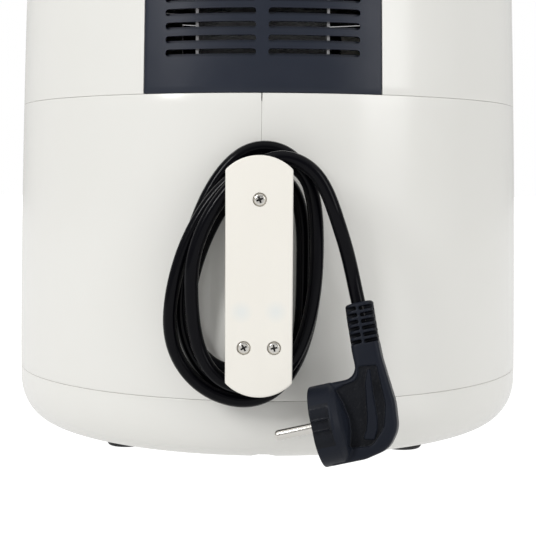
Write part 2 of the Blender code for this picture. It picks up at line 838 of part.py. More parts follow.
def cord_plate_outline():
    """A straight-sided plate whose ends are shallow arcs."""
    half = CORD_PLATE_WIDTH / 2
    reach = math.asin(half / CORD_PLATE_ARC)
    steps = 10
    points = []
    for end, sign in ((CORD_PLATE_TOP, 1), (CORD_PLATE_BOTTOM, -1)):
        centre = end - sign * CORD_PLATE_ARC
        for step in range(steps + 1):
            angle = reach * (1 - 2 * step / steps) * sign
            x = CORD_PLATE_ARC * math.sin(angle)
            points.append((x, centre + sign * CORD_PLATE_ARC * math.cos(angle)))
    return points


def make_cord_bracket():
    back = CORD_PLATE_FRONT - CORD_PLATE_THICKNESS
    half = HUB_WIDTH / 2
    corners = [(-half, HUB_BOTTOM), (half, HUB_BOTTOM), (half, HUB_TOP), (-half, HUB_TOP)]
    hub_shape = prism(rounded_profile(corners, 6.0, 3), HUB_FOOT, back - 0.3, "xzy")
    hub = add("cord_hub", hub_shape, WHITE)
    plate_shape = prism(cord_plate_outline(), back, CORD_PLATE_FRONT, "xzy")
    plate = add("cord_plate", plate_shape, CREAM)
    bevel(plate, 0.9, 2)
    for index, (x, height) in enumerate(PLATE_SCREWS):
        place = (x, CORD_PLATE_FRONT - 2.0, height)
        cut(hub, disc(1.9, -12, 5, 10), place, (-BACK, 0, 0))
        cut(plate, disc(3.3, 0, 5, 16), place, (-BACK, 0, 0))
        cut(plate, disc(1.9, -5, 5, 10), place, (-BACK, 0, 0))
        screw = screw_shape(head_radius=3.0, head=1.7, shank_radius=1.5, shank=10.0)
        place = (x, CORD_PLATE_FRONT - 1.7, height)
        add(f"plate_screw_{index + 1}", screw, BRIGHT, place, (-BACK, 0, 0))


# ---------------------------------------------------------------- cord and plug


def make_gland():
    """A tapered strain relief lying along the body beside the hub, with its clamp block."""
    length = GLAND_TIP - GLAND_START
    outline = [
        (0, 0),
        (4.2, 0),
        (4.2, 8.0),
        (3.8, length),
        (0, length),
    ]
    place = (GLAND_START, GLAND_Y, GLAND_HEIGHT)
    gland = add("cord_gland", lathe(outline, 16), RUBBER, place, (0, math.pi / 2, 0))
    low = (GLAND_START + 1, HUB_FOOT, GLAND_HEIGHT - 4.6)
    high = (GLAND_START + 5, GLAND_Y + 4.0, GLAND_HEIGHT + 4.6)
    join(gland, box(low, high))


def make_cord_winding():
    """The outer shape of the turns round the hub."""
    low = HUB_FOOT + 0.3
    high = CORD_PLATE_FRONT - CORD_PLATE_THICKNESS - 0.3
    outside = oval((46.8, 78.0), (0.4, 166.2), (-30.9, 112.0), (6.0, 36.4), (1.8, 2.6, 2.0, 2.0))
    winding = add("cord_winding", prism(outside, low, high, "xzy"), CORD)
    inside = oval((29.0, 98.0), (-0.4, 147.0), (-16.2, 105.0), (2.0, 58.8), (2.1, 2.8, 4.5, 2.4))
    cut(winding, prism(inside, low - 5, high + 5, "xzy"))
    pocket_low = (GLAND_START - CORD_GAP, low - 5, GLAND_HEIGHT - 4.9)
    pocket_high = (GLAND_TIP + CORD_GAP, GLAND_Y + 5.0, GLAND_HEIGHT + 9.0)
    cut(winding, box(pocket_low, pocket_high))


def make_cord_tail():
    points = smooth_route(TAIL_ROUTE, 2.5 * 2 * CORD_RADIUS)
    tube("cord_tail", points, CORD_RADIUS, CORD, 3)


def plug_turn():
    """Turns the plug's own X, from its face backwards, to where the real plug's back points."""
    return (Matrix.Rotation(math.pi - PLUG_INWARD, 4, "Z")
            @ Matrix.Rotation(-PLUG_DROP, 4, "Y")
            @ Matrix.Rotation(-PLUG_LEAN, 4, "X")).to_euler()


def make_plug():
    """An angled mains plug: round face, cast body, neck at right angles to the pins."""
    turn = plug_turn()
    face = lathe([(0, 0), (PLUG_RADIUS, 0), (PLUG_RADIUS, 17.5), (14.0, 19.5), (0, 19.5)], 28)
    bmesh.ops.rotate(face, verts=face.verts, matrix=Matrix.Rotation(math.pi / 2, 3, "Y"))
    plug = add("plug_body", face, BLACK, PLUG_FACE, turn)
    side = [
        (6.0, -18.5),
        (20.0, -18.5),
        (31.0, -15.5),
        (36.8, -8.0),
        (38.3, 4.0),
        (37.2, 26.0),
        (38.5, 53.0),
        (25.5, 53.0),
        (24.0, 24.0),
        (21.0, 18.5),
        (6.0, 18.0),
    ]
    join(plug, prism(side, -6.2, 6.2, "xzy"), PLUG_FACE, turn)
    for index in range(2):
        side = index * 2 - 1
        outline = [(0, -PIN_LENGTH), (1.4, -PIN_LENGTH), (PIN_RADIUS, -PIN_LENGTH + 1.6),
                   (PIN_RADIUS, -0.3), (0, -0.3)]
        pin = lathe(outline, 14)
        bmesh.ops.rotate(pin, verts=pin.verts, matrix=Matrix.Rotation(math.pi / 2, 3, "Y"))
        bmesh.ops.translate(pin, verts=pin.verts, vec=(0, side * PIN_SPACING / 2, 0))
        add(f"plug_pin_{index + 1}", pin, BRIGHT, PLUG_FACE, turn)


# ---------------------------------------------------------------- assembly


def make_axis(name, place, parent=None):
    axis = bpy.data.objects.new(name, None)
    bpy.context.scene.collection.objects.link(axis)
    axis.location = Vector(place) * MM
    axis.parent = parent
    return axis


clear_scene()

WHITE = make_material("glossy_white", (0.84, 0.84, 0.80), 0.25)
CREAM = make_material("warm_white", (0.87, 0.85, 0.79), 0.3)
BLACK = make_material("black_plastic", (0.03, 0.03, 0.035), 0.45)
DARK = make_material("dark_gloss", (0.02, 0.02, 0.022), 0.15)
GREY = make_material("grey_plastic", (0.25, 0.25, 0.26), 0.5)
STEEL = make_material("sheet_steel", (0.62, 0.62, 0.62), 0.3, 1.0)
BRIGHT = make_material("bright_steel", (0.74, 0.73, 0.71), 0.2, 1.0)
HEATER = make_material("heater_steel", (0.28, 0.26, 0.25), 0.4, 1.0)
ALUMINIUM = make_material("aluminium", (0.75, 0.75, 0.76), 0.35, 1.0)
BRASS = make_material("brass", (0.72, 0.55, 0.25), 0.35, 1.0)
CERAMIC = make_material("ceramic", (0.85, 0.83, 0.78), 0.5)
COATED = make_material("non_stick", (0.04, 0.04, 0.045), 0.55)
RUBBER = make_material("black_rubber", (0.02, 0.02, 0.02), 0.8)
CORD = make_material("cord_sheath", (0.015, 0.015, 0.02), 0.35)
LENS = make_material("lamp_lens", (0.7, 0.15, 0.08), 0.2)

KNOBS = (("timer_knob", FRONT - KNOB_ANGLE), ("temperature_knob", FRONT + KNOB_ANGLE))
UNITS = (("timer_unit", FRONT - KNOB_ANGLE), ("thermostat_unit", FRONT + KNOB_ANGLE))
LAMPS = (("power_lamp_lens", 238.0), ("heating_lamp_lens", 214.0))

BODY_AXIS = make_axis("body_axis", (0, AXIS_Y, 0))
ROTOR_AXIS = make_axis("rotor_axis", (0, CHAMBER_Y, 0), BODY_AXIS)
DRAWER = make_axis("drawer_slide", (0, 0, 0), BODY_AXIS)
CRISPER = make_axis("crisper_lift", (0, 0, 0), DRAWER)

make_base_pan()
make_housings()
make_upper_housing()
make_top_cover()
make_vent()
make_control_panel()
make_lamps()
make_knobs()
make_knob_units()
make_drawer_front(DRAWER)
make_pan(DRAWER)
make_pan_bracket(DRAWER)
make_handle(DRAWER)
make_crisper(CRISPER)
make_chamber_liner()
make_drawer_sill()
make_upper_deck()
make_heater_tub()
make_heater_element()
make_heater_guard()
make_rotor()
make_motor()
make_outlet_duct()
make_electrics()
make_feet()
make_base_screws()
make_cord_bracket()
make_gland()
make_cord_winding()
make_cord_tail()
make_plug()
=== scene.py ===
"""Looks of a round hot-air fryer, seen from behind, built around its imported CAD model.

Lengths are in millimetres and MM turns them into Blender's metres. Shapes are drawn round the
body's upright axis, with Z as height above the table, and every mesh is then moved by AXIS_Y,
so each object itself stays at the origin. The cord bracket is at the back, +Y.
"""

import math

import bmesh
import bpy
from mathutils import Matrix, Vector


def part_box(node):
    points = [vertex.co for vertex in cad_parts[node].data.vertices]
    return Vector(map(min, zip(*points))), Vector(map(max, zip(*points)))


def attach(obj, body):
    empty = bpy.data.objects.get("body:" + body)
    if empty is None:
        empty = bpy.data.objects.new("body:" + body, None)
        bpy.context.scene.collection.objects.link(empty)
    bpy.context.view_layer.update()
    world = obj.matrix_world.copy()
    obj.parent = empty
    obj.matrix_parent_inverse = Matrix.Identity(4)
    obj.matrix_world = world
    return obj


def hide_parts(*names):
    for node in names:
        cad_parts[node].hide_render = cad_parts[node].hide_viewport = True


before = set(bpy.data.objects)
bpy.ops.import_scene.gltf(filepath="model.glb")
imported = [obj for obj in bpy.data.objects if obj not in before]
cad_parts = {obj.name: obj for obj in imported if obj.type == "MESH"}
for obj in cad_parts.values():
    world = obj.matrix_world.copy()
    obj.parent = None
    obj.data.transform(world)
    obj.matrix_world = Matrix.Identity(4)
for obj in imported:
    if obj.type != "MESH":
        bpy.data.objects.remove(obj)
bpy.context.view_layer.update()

MM = 0.001
TAU = 2 * math.pi
FRONT = -math.pi / 2
BACK = math.pi / 2
# Turns a shape's upright axis to point along X
ALONG_X = Matrix.Rotation(math.pi / 2, 3, "Y")


def node_box(name):
    """Lowest and highest corner of a CAD node, in millimetres."""
    low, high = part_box(name)
    return low / MM, high / MM


# ---------------------------------------------------------------- sizes read from the frame

BASE_LOW, BASE_HIGH = node_box("base_pan")
AXIS_Y = (BASE_LOW.y + BASE_HIGH.y) / 2
BODY_RADIUS = BASE_HIGH.x
BASE_BOTTOM = BASE_LOW.z
LOW_SEAM = (BASE_HIGH.z + node_box("housing_left")[0].z) / 2
HIGH_SEAM = (node_box("housing_left")[1].z + node_box("upper_housing")[0].z) / 2
COVER_SEAM = (node_box("upper_housing")[1].z + node_box("top_cover")[0].z) / 2
BODY_TOP = node_box("top_cover")[1].z
COVER_RADIUS = node_box("top_cover")[1].x
SIDE_POWER = 1.5
SIDE_DROP = (BODY_RADIUS - COVER_RADIUS) / (COVER_SEAM + 0.2 - LOW_SEAM) ** SIDE_POWER
DOME_START = 266.0
DOME_POWER = 2.5
BASE_CORNER_WIDTH = 21.8
BASE_CORNER_HEIGHT = 26.3
BASE_CORNER_POWER = 2.17
WALL = 2.5
SHELL_STEPS = 240

CHAMBER_Y = (node_box("pan")[0].y + node_box("pan")[1].y) / 2 - AXIS_Y
PLATE_FRONT = node_box("cord_plate")[1].y - AXIS_Y
PLATE_BACK = node_box("cord_plate")[0].y - AXIS_Y


def skin(height):
    """Radius of the body's outer skin at a height."""
    corner_top = BASE_BOTTOM + BASE_CORNER_HEIGHT
    if height < corner_top:
        down = min(1.0, (corner_top - height) / BASE_CORNER_HEIGHT)
        out = (1 - down**BASE_CORNER_POWER) ** (1 / BASE_CORNER_POWER)
        return BODY_RADIUS - BASE_CORNER_WIDTH * (1 - out)
    side = BODY_RADIUS - SIDE_DROP * max(0.0, min(height, DOME_START) - LOW_SEAM) ** SIDE_POWER
    rise = max(0.0, height - DOME_START) / (BODY_TOP - DOME_START)
    return side * max(0.0, 1 - rise**DOME_POWER) ** (1 / DOME_POWER)


# ---------------------------------------------------------------- shapes


def turned(outline, angles, full, flute=None):
    """A closed outline of (radius, height) taken round Z through the angles.

    flute, if given, is a function of the angle that is added to each radius."""
    shape = bmesh.new()
    poles = {}
    columns = []
    for angle in angles:
        extra = flute(angle) if flute else 0.0
        column = []
        for index, (radius, height) in enumerate(outline):
            if radius == 0:
                if index not in poles:
                    poles[index] = shape.verts.new((0, 0, height))
                column.append(poles[index])
                continue
            reach = radius + extra
            column.append(shape.verts.new((reach * math.cos(angle), reach * math.sin(angle), height)))
        columns.append(column)
    for step in range(len(columns) if full else len(columns) - 1):
        near = columns[step]
        far = columns[(step + 1) % len(columns)]
        for index in range(len(outline)):
            after = (index + 1) % len(outline)
            corners = dict.fromkeys((near[index], far[index], far[after], near[after]))
            if len(corners) > 2:
                shape.faces.new(tuple(corners))
    if not full:
        shape.faces.new(columns[0])
        shape.faces.new(tuple(reversed(columns[-1])))
    bmesh.ops.recalc_face_normals(shape, faces=shape.faces)
    return shape


def lathe(outline, steps, start=0.0, sweep=TAU, flute=None):
    """A closed outline of (radius, height) turned about Z. A part turn gets flat ends."""
    full = sweep > TAU - 1e-6
    angles = [start + sweep * step / steps for step in range(steps if full else steps + 1)]
    return turned(outline, angles, full, flute)


# Where the columns of a rounded upright edge stand, as shares of its width
EDGE_SHARES = (0.0, 0.134, 0.5, 1.0)


def sector(outline, middle, half, steps, edge):
    """A part of a shell, half an angle to each side of middle, its upright edges rounded off."""
    fine = [edge * share / BODY_RADIUS for share in EDGE_SHARES]
    first, last = middle - half, middle + half
    inner = [first + fine[-1] + (2 * half - 2 * fine[-1]) * step / steps for step in range(1, steps)]
    angles = [first + turn for turn in fine] + inner + [last - turn for turn in reversed(fine)]

    def pulled_in(angle):
        """How far the skin draws back at an angle, near the two upright edges."""
        near = min(angle - first, last - angle) * BODY_RADIUS
        near = max(0.0, min(edge, near))
        return math.sqrt(edge**2 - (edge - near) ** 2) - edge

    return turned(outline, angles, False, pulled_in)


def wall_profile(low, high, steps, wall, edge):
    """Closed outline of a shell wall that follows the skin, its outer edges rounded off."""
    outside = []
    for step in range(4):
        angle = math.pi / 6 * step
        outside.append((skin(low + edge) - edge + edge * math.sin(angle),
                        low + edge - edge * math.cos(angle)))
    for step in range(1, steps):
        height = low + edge + (high - low - 2 * edge) * step / steps
        outside.append((skin(height), height))
    for step in range(4):
        angle = math.pi / 6 * step
        outside.append((skin(high - edge) - edge + edge * math.cos(angle),
                        high - edge + edge * math.sin(angle)))
    inside = []
    for step in range(7):
        height = high + (low - high) * step / 6
        inside.append((skin(height) - wall, height))
    return outside + inside


def loft(rings):
    """A closed shape through rings of (outline, level)."""
    shape = bmesh.new()
    made = [[shape.verts.new((a, b, level)) for a, b in outline] for outline, level in rings]
    for near, far in zip(made, made[1:]):
        for index in range(len(near)):
            after = (index + 1) % len(near)
            shape.faces.new((near[index], near[after], far[after], far[index]))
    shape.faces.new(tuple(reversed(made[0])))
    shape.faces.new(made[-1])
    bmesh.ops.recalc_face_normals(shape, faces=shape.faces)
    return shape


def box(low, high):
    """A box between two corners."""
    shape = bmesh.new()
    bmesh.ops.create_cube(shape, size=1.0)
    for vert in shape.verts:
        for axis in range(3):
            vert.co[axis] = high[axis] if vert.co[axis] > 0 else low[axis]
    return shape


def prism(outline, low, high, axes="xyz"):
    """A flat outline pushed from low to high. axes names where its two sides and push point."""
    order = ["xyz".index(letter) for letter in axes]
    shape = bmesh.new()
    ends = []
    for level in (low, high):
        ring = []
        for point in outline:
            place = [0.0, 0.0, 0.0]
            for axis, value in zip(order, (*point, level)):
                place[axis] = value
            ring.append(shape.verts.new(place))
        ends.append(ring)
    shape.faces.new(ends[0])
    shape.faces.new(tuple(reversed(ends[1])))
    for index in range(len(outline)):
        after = (index + 1) % len(outline)
        shape.faces.new((ends[0][index], ends[0][after], ends[1][after], ends[1][index]))
    bmesh.ops.recalc_face_normals(shape, faces=shape.faces)
    return shape


def fillet(corners, steps=4):
    """A closed outline through (a, b, radius) corners, each rounded off with an arc."""
    points = []
    count = len(corners)
    for index, (a, b, radius) in enumerate(corners):
        here = Vector((a, b))
        if radius == 0:
            points.append((a, b))
            continue
        to_last = Vector(corners[index - 1][:2]) - here
        to_next = Vector(corners[(index + 1) % count][:2]) - here
        half = to_last.angle(to_next) / 2
        reach = radius / math.tan(half)
        start = here + to_last.normalized() * reach
        middle = (to_last.normalized() + to_next.normalized()).normalized()
        centre = here + middle * (radius / math.sin(half))
        arm = start - centre
        side = -1 if to_last.cross(to_next) > 0 else 1
        sweep = side * (math.pi - 2 * half)
        for step in range(steps + 1):
            points.append(tuple(centre + Matrix.Rotation(sweep * step / steps, 2) @ arm))
    return points


def inset(corners, depth):
    """The corners of a counter-clockwise outline that lies that far inside the first one."""
    result = []
    for index, (a, b, radius) in enumerate(corners):
        here = Vector((a, b))
        before = (here - Vector(corners[index - 1][:2])).normalized()
        after = (Vector(corners[(index + 1) % len(corners)][:2]) - here).normalized()
        inward = Vector((-before.y, before.x)) + Vector((-after.y, after.x))
        moved = here + inward * (depth / (1 + before.dot(after)))
        convex = before.cross(after) > 0
        result.append((moved.x, moved.y, max(0.05, radius - depth) if convex else radius + depth))
    return result


def rounded_slab(corners, half, edge, steps=5, fine=6):
    """An upright slab with the (x, z) outline, from -half to half along y, with round edges."""
    rings = []
    for step in range(-steps, steps + 1):
        angle = math.radians(90 * abs(step) / steps)
        level = half - edge + edge * math.sin(angle)
        outline = fillet(inset(corners, edge * (1 - math.cos(angle))), fine)
        if step == 0:
            rings.append((outline, edge - half))
        rings.append((outline, math.copysign(level, step) if step else level))
    return placed(loft(rings), turn=Matrix.Rotation(math.pi / 2, 3, "X"))


def rounded_box(low, high, radius, steps=4):
    """A closed rectangle with round corners, as (a, b) points."""
    corners = ((low[0], low[1]), (high[0], low[1]), (high[0], high[1]), (low[0], high[1]))
    return fillet([(*corner, radius) for corner in corners], steps)


def circle(radius, steps, centre=(0.0, 0.0)):
    """A circle as (a, b) points."""
    points = []
    for step in range(steps):
        angle = TAU * step / steps
        points.append((centre[0] + radius * math.cos(angle), centre[1] + radius * math.sin(angle)))
    return points


def merge(*shapes):
    """Several closed shapes as one."""
    whole = bmesh.new()
    for shape in shapes:
        mesh = bpy.data.meshes.new("part")
        shape.to_mesh(mesh)
        shape.free()
        whole.from_mesh(mesh)
        bpy.data.meshes.remove(mesh)
    return whole


def placed(shape, place=(0, 0, 0), turn=None):
    """The shape turned and then moved."""
    matrix = Matrix.Translation(Vector(place))
    if turn is not None:
        matrix = matrix @ turn.to_4x4()
    bmesh.ops.transform(shape, matrix=matrix, verts=shape.verts)
    return shape


def turn_to(direction):
    """A rotation that brings local Z to the direction."""
    return Vector(direction).to_track_quat("Z", "Y").to_matrix()


def curve_shape(curve):
    """The surface of a curve or text as a bmesh. The curve is removed."""
    holder = bpy.data.objects.new("curve", curve)
    mesh = bpy.data.meshes.new_from_object(holder)
    shape = bmesh.new()
    shape.from_mesh(mesh)
    bpy.data.objects.remove(holder)
    bpy.data.curves.remove(curve)
    bpy.data.meshes.remove(mesh)
    return shape


def perforated(outside, holes, low, high):
    """A flat plate with holes, in the XY plane between two heights."""
    curve = bpy.data.curves.new("plate", "CURVE")
    curve.dimensions = "2D"
    curve.fill_mode = "BOTH"
    curve.extrude = (high - low) / 2
    for outline in (outside, *holes):
        spline = curve.splines.new("POLY")
        spline.points.add(len(outline) - 1)
        for target, point in zip(spline.points, outline):
            target.co = (*point, 0.0, 1.0)
        spline.use_cyclic_u = True
    shape = curve_shape(curve)
    bmesh.ops.remove_doubles(shape, verts=shape.verts, dist=1e-4)
    bmesh.ops.translate(shape, verts=shape.verts, vec=(0, 0, (low + high) / 2))
    return shape


# ---------------------------------------------------------------- pieces


def helper(shape):
    """An unlinked-to-view object that a Boolean reads, in millimetres."""
    mesh = bpy.data.meshes.new("helper")
    shape.to_mesh(mesh)
    shape.free()
    obj = bpy.data.objects.new("helper", mesh)
    bpy.context.scene.collection.objects.link(obj)
    return obj


def evaluated(obj):
    """The object's mesh with its modifiers applied, as a bmesh. The object is removed."""
    bpy.context.view_layer.update()
    graph = bpy.context.evaluated_depsgraph_get()
    mesh = bpy.data.meshes.new_from_object(obj.evaluated_get(graph))
    shape = bmesh.new()
    shape.from_mesh(mesh)
    bpy.data.meshes.remove(mesh)
    old = obj.data
    bpy.data.objects.remove(obj)
    bpy.data.meshes.remove(old)
    return shape


def combined(shape, tool, operation):
    """One shape cut by another, or joined to it."""
    obj = helper(shape)
    other = helper(tool)
    modifier = obj.modifiers.new("cut", "BOOLEAN")
    modifier.object = other
    modifier.operation = operation
    modifier.solver = "EXACT"
    result = evaluated(obj)
    mesh = other.data
    bpy.data.objects.remove(other)
    bpy.data.meshes.remove(mesh)
    return result


def cut(shape, tool):
    """The shape without what the tool covers."""
    return combined(shape, tool, "DIFFERENCE")


def union(shape, tool):
    """Both shapes as one."""
    return combined(shape, tool, "UNION")


def softened(shape, width, segments=3, angle=50):
    """The shape with its sharp edges rounded off."""
    obj = helper(shape)
    modifier = obj.modifiers.new("edges", "BEVEL")
    modifier.width = width
    modifier.segments = segments
    modifier.limit_method = "ANGLE"
    modifier.angle_limit = math.radians(angle)
    modifier.harden_normals = False
    return evaluated(obj)


def moulded_skin(shape, voxel, passes, factor=0.5):
    """The shape as one smooth skin, as if it had been cast in a mould."""
    obj = helper(shape)
    remesh = obj.modifiers.new("skin", "REMESH")
    remesh.mode = "VOXEL"
    remesh.voxel_size = voxel
    smooth = obj.modifiers.new("soft", "SMOOTH")
    smooth.factor = factor
    smooth.iterations = passes
    return evaluated(obj)


def piece(name, shape, look, body="body", stands_for=(), place=(0, 0, 0), turn=None, sharp=35):
    """A finished piece from a shape in millimetres about the body's axis."""
    placed(shape, place, turn)
    bmesh.ops.translate(shape, verts=shape.verts, vec=(0, AXIS_Y, 0))
    bmesh.ops.scale(shape, verts=shape.verts, vec=(MM, MM, MM))
    mesh = bpy.data.meshes.new(name)
    shape.to_mesh(mesh)
    shape.free()
    looks = look if isinstance(look, (list, tuple)) else [look]
    for material in looks:
        mesh.materials.append(material)
    mesh.shade_smooth()
    mesh.set_sharp_from_angle(angle=math.radians(sharp))
    obj = bpy.data.objects.new(name, mesh)
    bpy.context.scene.collection.objects.link(obj)
    return own(obj, body, stands_for)


def own(obj, body, stands_for):
    """Says what the piece rides on and what it stands for."""
    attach(obj, body)
    if stands_for:
        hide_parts(*stands_for)
    return obj


def wire(name, points, radius, look, body="body", stands_for=(), resolution=6, cyclic=False):
    """A round wire or tube along points in millimetres about the body's axis."""
    curve = bpy.data.curves.new(name, "CURVE")
    curve.dimensions = "3D"
    curve.bevel_depth = radius * MM
    curve.bevel_resolution = resolution
    curve.use_fill_caps = True
    spline = curve.splines.new("POLY")
    spline.points.add(len(points) - 1)
    for target, point in zip(spline.points, points):
        target.co = ((point[0]) * MM, (point[1] + AXIS_Y) * MM, point[2] * MM, 1.0)
    spline.use_cyclic_u = cyclic
    curve.materials.append(look)
    obj = bpy.data.objects.new(name, curve)
    bpy.context.scene.collection.objects.link(obj)
    return own(obj, body, stands_for)


# ---------------------------------------------------------------- materials


class Graph:
    """A new material and its nodes. Each call of node() makes one and fills its sockets."""

    def __init__(self, name):
        old = bpy.data.materials.get(name)
        if old:
            old.name = name + "_cad"
        self.material = bpy.data.materials.new(name)
        self.material.use_nodes = True
        self.tree = self.material.node_tree
        self.shader = self.tree.nodes["Principled BSDF"]
        self.place = self.node("ShaderNodeTexCoord").outputs["Object"]

    def node(self, kind, settings=None, **sockets):
        """A new node with these settings and with its sockets filled."""
        made = self.tree.nodes.new(kind)
        for name, value in (settings or {}).items():
            setattr(made, name, value)
        self.fill_all(made, sockets)
        return made

    def fill(self, socket, value):
        """Links a socket to another one, or sets its number or colour."""
        if isinstance(value, bpy.types.NodeSocket):
            self.tree.links.new(value, socket)
        elif socket.type == "RGBA":
            socket.default_value = (*value, 1.0)
        else:
            socket.default_value = value

    def fill_all(self, node, sockets):
        """Fills a node's sockets by name. An underscore stands for a space."""
        for name, value in sockets.items():
            self.fill(node.inputs[name.replace("_", " ")], value)

    def shade(self, **sockets):
        """Fills sockets of the material's shader."""
        self.fill_all(self.shader, sockets)

    def noise(self, scale, detail=2.0, stretch=None):
        """A noise pattern fixed to the piece, drawn out along the axes by stretch."""
        where = self.place
        if stretch:
            where = self.node("ShaderNodeMapping", Vector=where, Scale=stretch).outputs["Vector"]
        made = self.node("ShaderNodeTexNoise", Vector=where, Scale=scale, Detail=detail)
        return made.outputs["Fac"]

    def between(self, value, low, high, lowest=0.3, highest=0.7):
        """The value, mostly from lowest to highest, taken to the range from low to high."""
        made = self.node("ShaderNodeMapRange", Value=value)
        for name, number in (("From Min", lowest), ("From Max", highest),
                             ("To Min", low), ("To Max", high)):
            made.inputs[name].default_value = number
        return made.outputs["Result"]

    def mix(self, share, first, second):
        """A blend of two colours. Its colour sockets have no names of their own, only places."""
        made = self.node("ShaderNodeMix", {"data_type": "RGBA"})
        for place, value in ((0, share), (6, first), (7, second)):
            self.fill(made.inputs[place], value)
        return made.outputs[2]

    def bump(self, height, depth, under=None):
        """Relief of that depth in millimetres."""
        made = self.node("ShaderNodeBump", Height=height)
        made.inputs["Strength"].default_value = 1.0
        made.inputs["Distance"].default_value = depth * MM
        if under is not None:
            self.tree.links.new(under, made.inputs["Normal"])
        return made.outputs["Normal"]


def plastic(name, colour, shade, roughness, spread, grain, depth, ripple=0.0, gloss=0.5, marks=()):
    """Moulded plastic or rubber: slight mottling, uneven gloss, a fine grain and a soft ripple.
    marks are the places of faint round sink marks over bosses, in millimetres; each gets a cool grey
    patch of painted shade in place of the light on its shallow dimple."""
    graph = Graph(name)
    mottling = graph.between(graph.noise(22.0, 3.0), 0.0, 1.0)
    dullness = graph.between(graph.noise(70.0, 4.0), roughness - spread, roughness + spread)
    relief = graph.bump(graph.noise(grain, 2.0), depth)
    if ripple:
        relief = graph.bump(graph.noise(38.0, 1.0), ripple, relief)
    tint = graph.mix(mottling, colour, shade)
    # A cool grey painted shade round each sink mark, in place of modelled dimples
    for mark in marks:
        span = graph.node("ShaderNodeVectorMath", {"operation": "DISTANCE"}, Vector=graph.place)
        span.inputs[1].default_value = [length * MM for length in mark]
        near = graph.between(span.outputs["Value"], SINK_MARK_SHARE, 0.0,
                             SINK_MARK_MIDDLE * MM, SINK_MARK_RADIUS * MM)
        tint = graph.mix(near, tint, SINK_MARK_SHADE_COLOUR)
    graph.shade(Base_Color=tint, Roughness=dullness, Normal=relief)
    graph.shade(Specular_IOR_Level=gloss)
    return graph.material


def metal(name, colour, shade, roughness, spread, stretch, grain, depth):
    """Metal with a drawn or rolled grain along one direction."""
    graph = Graph(name)
    streaks = graph.noise(grain, 4.0, stretch=stretch)
    mottling = graph.between(graph.noise(30.0, 3.0), 0.0, 1.0)
    gloss = graph.between(streaks, roughness - spread, roughness + spread)
    relief = graph.bump(streaks, depth)
    graph.shade(Base_Color=graph.mix(mottling, colour, shade), Roughness=gloss, Normal=relief)
    graph.shade(Metallic=1.0)
    return graph.material


def coated():
    """Dark non-stick coating with fine pale flecks."""
    graph = Graph("non_stick")
    cells = graph.node("ShaderNodeTexVoronoi", Vector=graph.place, Scale=900.0)
    flecks = graph.between(cells.outputs["Distance"], 1.0, 0.0, 0.05, 0.2)
    mottling = graph.between(graph.noise(40.0), 0.0, 1.0)
    ground = graph.mix(mottling, (0.028, 0.028, 0.03), (0.038, 0.038, 0.042))
    relief = graph.bump(graph.noise(1400.0, 2.0), 0.02)
    gloss = graph.between(graph.noise(160.0, 3.0), 0.34, 0.46)
    graph.shade(Base_Color=graph.mix(flecks, ground, (0.2, 0.2, 0.21)), Roughness=gloss, Normal=relief)
    return graph.material


def lens(name, colour, shade):
    """A small coloured lamp lens with moulded ribs."""
    graph = Graph(name)
    bands = graph.node("ShaderNodeTexWave", Vector=graph.place, Scale=260.0)
    relief = graph.bump(bands.outputs["Fac"], 0.05)
    mottling = graph.between(graph.noise(300.0), 0.0, 1.0)
    graph.shade(Base_Color=graph.mix(mottling, colour, shade), Normal=relief, Roughness=0.12)
    graph.shade(Transmission_Weight=0.35, IOR=1.49)
    return graph.material


def floor_look():
    """A pale light table, which stays white under the object too."""
    graph = Graph("pale_floor")
    mottling = graph.between(graph.noise(6.0, 2.0), 0.0, 1.0)
    graph.shade(Base_Color=graph.mix(mottling, (0.27, 0.27, 0.27), (0.25, 0.25, 0.25)), Roughness=0.9)
    graph.shade(Specular_IOR_Level=0.0, Emission_Color=(1.0, 1.0, 1.0))
    glow = graph.shader.inputs["Emission Strength"]
    seen_or_lit(graph.material.node_tree, FLOOR_GLOW, FLOOR_BOUNCE, glow)
    return graph.material


def seen_or_lit(tree, seen, lit, socket):
    """A brightness of one value to the eye and another, lower one as a source of light."""
    path = tree.nodes.new("ShaderNodeLightPath")
    strength = tree.nodes.new("ShaderNodeMapRange")
    strength.inputs["To Min"].default_value = lit
    strength.inputs["To Max"].default_value = seen
    tree.links.new(path.outputs["Is Camera Ray"], strength.inputs["Value"])
    tree.links.new(strength.outputs["Result"], socket)
    return strength


# Painted shade at the sink marks over the bosses behind the cord plate, standing in for their shallow
# dimples: how strong, which colour and where
SINK_MARK_SHARE = 0.5
SINK_MARK_MIDDLE = 1.0
SINK_MARK_RADIUS = 5.8
SINK_MARK_SHADE_COLOUR = (0.70, 0.745, 0.75)
SINK_MARK_SHADE_PLACES = (
    (8.3, PLATE_FRONT + AXIS_Y, 85.2),
    (-8.0, PLATE_FRONT + AXIS_Y, 85.4),
)
# How bright the floor looks to the camera, and how bright it is as a source of light
FLOOR_GLOW = 1.0
FLOOR_BOUNCE = 0.62

# Each finish has two colours that blend into one another, how rough it is and by how much that
# varies, and the fineness of its grain with the grain's depth in millimetres.
GLOSSY_WHITE = plastic("glossy_white", (0.80, 0.793, 0.757), (0.79, 0.783, 0.744),
                       0.2, 0.03, 160.0, 0.004, ripple=0.03)
# The cord plate's warm white carries the painted shade of the sink marks
WARM_WHITE = plastic("warm_white", (0.84, 0.815, 0.752), (0.83, 0.803, 0.737),
                     0.34, 0.04, 900.0, 0.01, marks=SINK_MARK_SHADE_PLACES)
BLACK = plastic("black_plastic", (0.016, 0.020, 0.031), (0.020, 0.024, 0.037),
                0.34, 0.05, 1400.0, 0.02, gloss=0.26)
DARK = plastic("dark_gloss", (0.018, 0.018, 0.02), (0.024, 0.024, 0.027), 0.14, 0.03, 300.0, 0.003)
GREY = plastic("grey_plastic", (0.21, 0.21, 0.22), (0.24, 0.24, 0.25), 0.42, 0.05, 1500.0, 0.02)
RUBBER = plastic("black_rubber", (0.016, 0.016, 0.017), (0.026, 0.026, 0.027),
                 0.66, 0.07, 1100.0, 0.05)
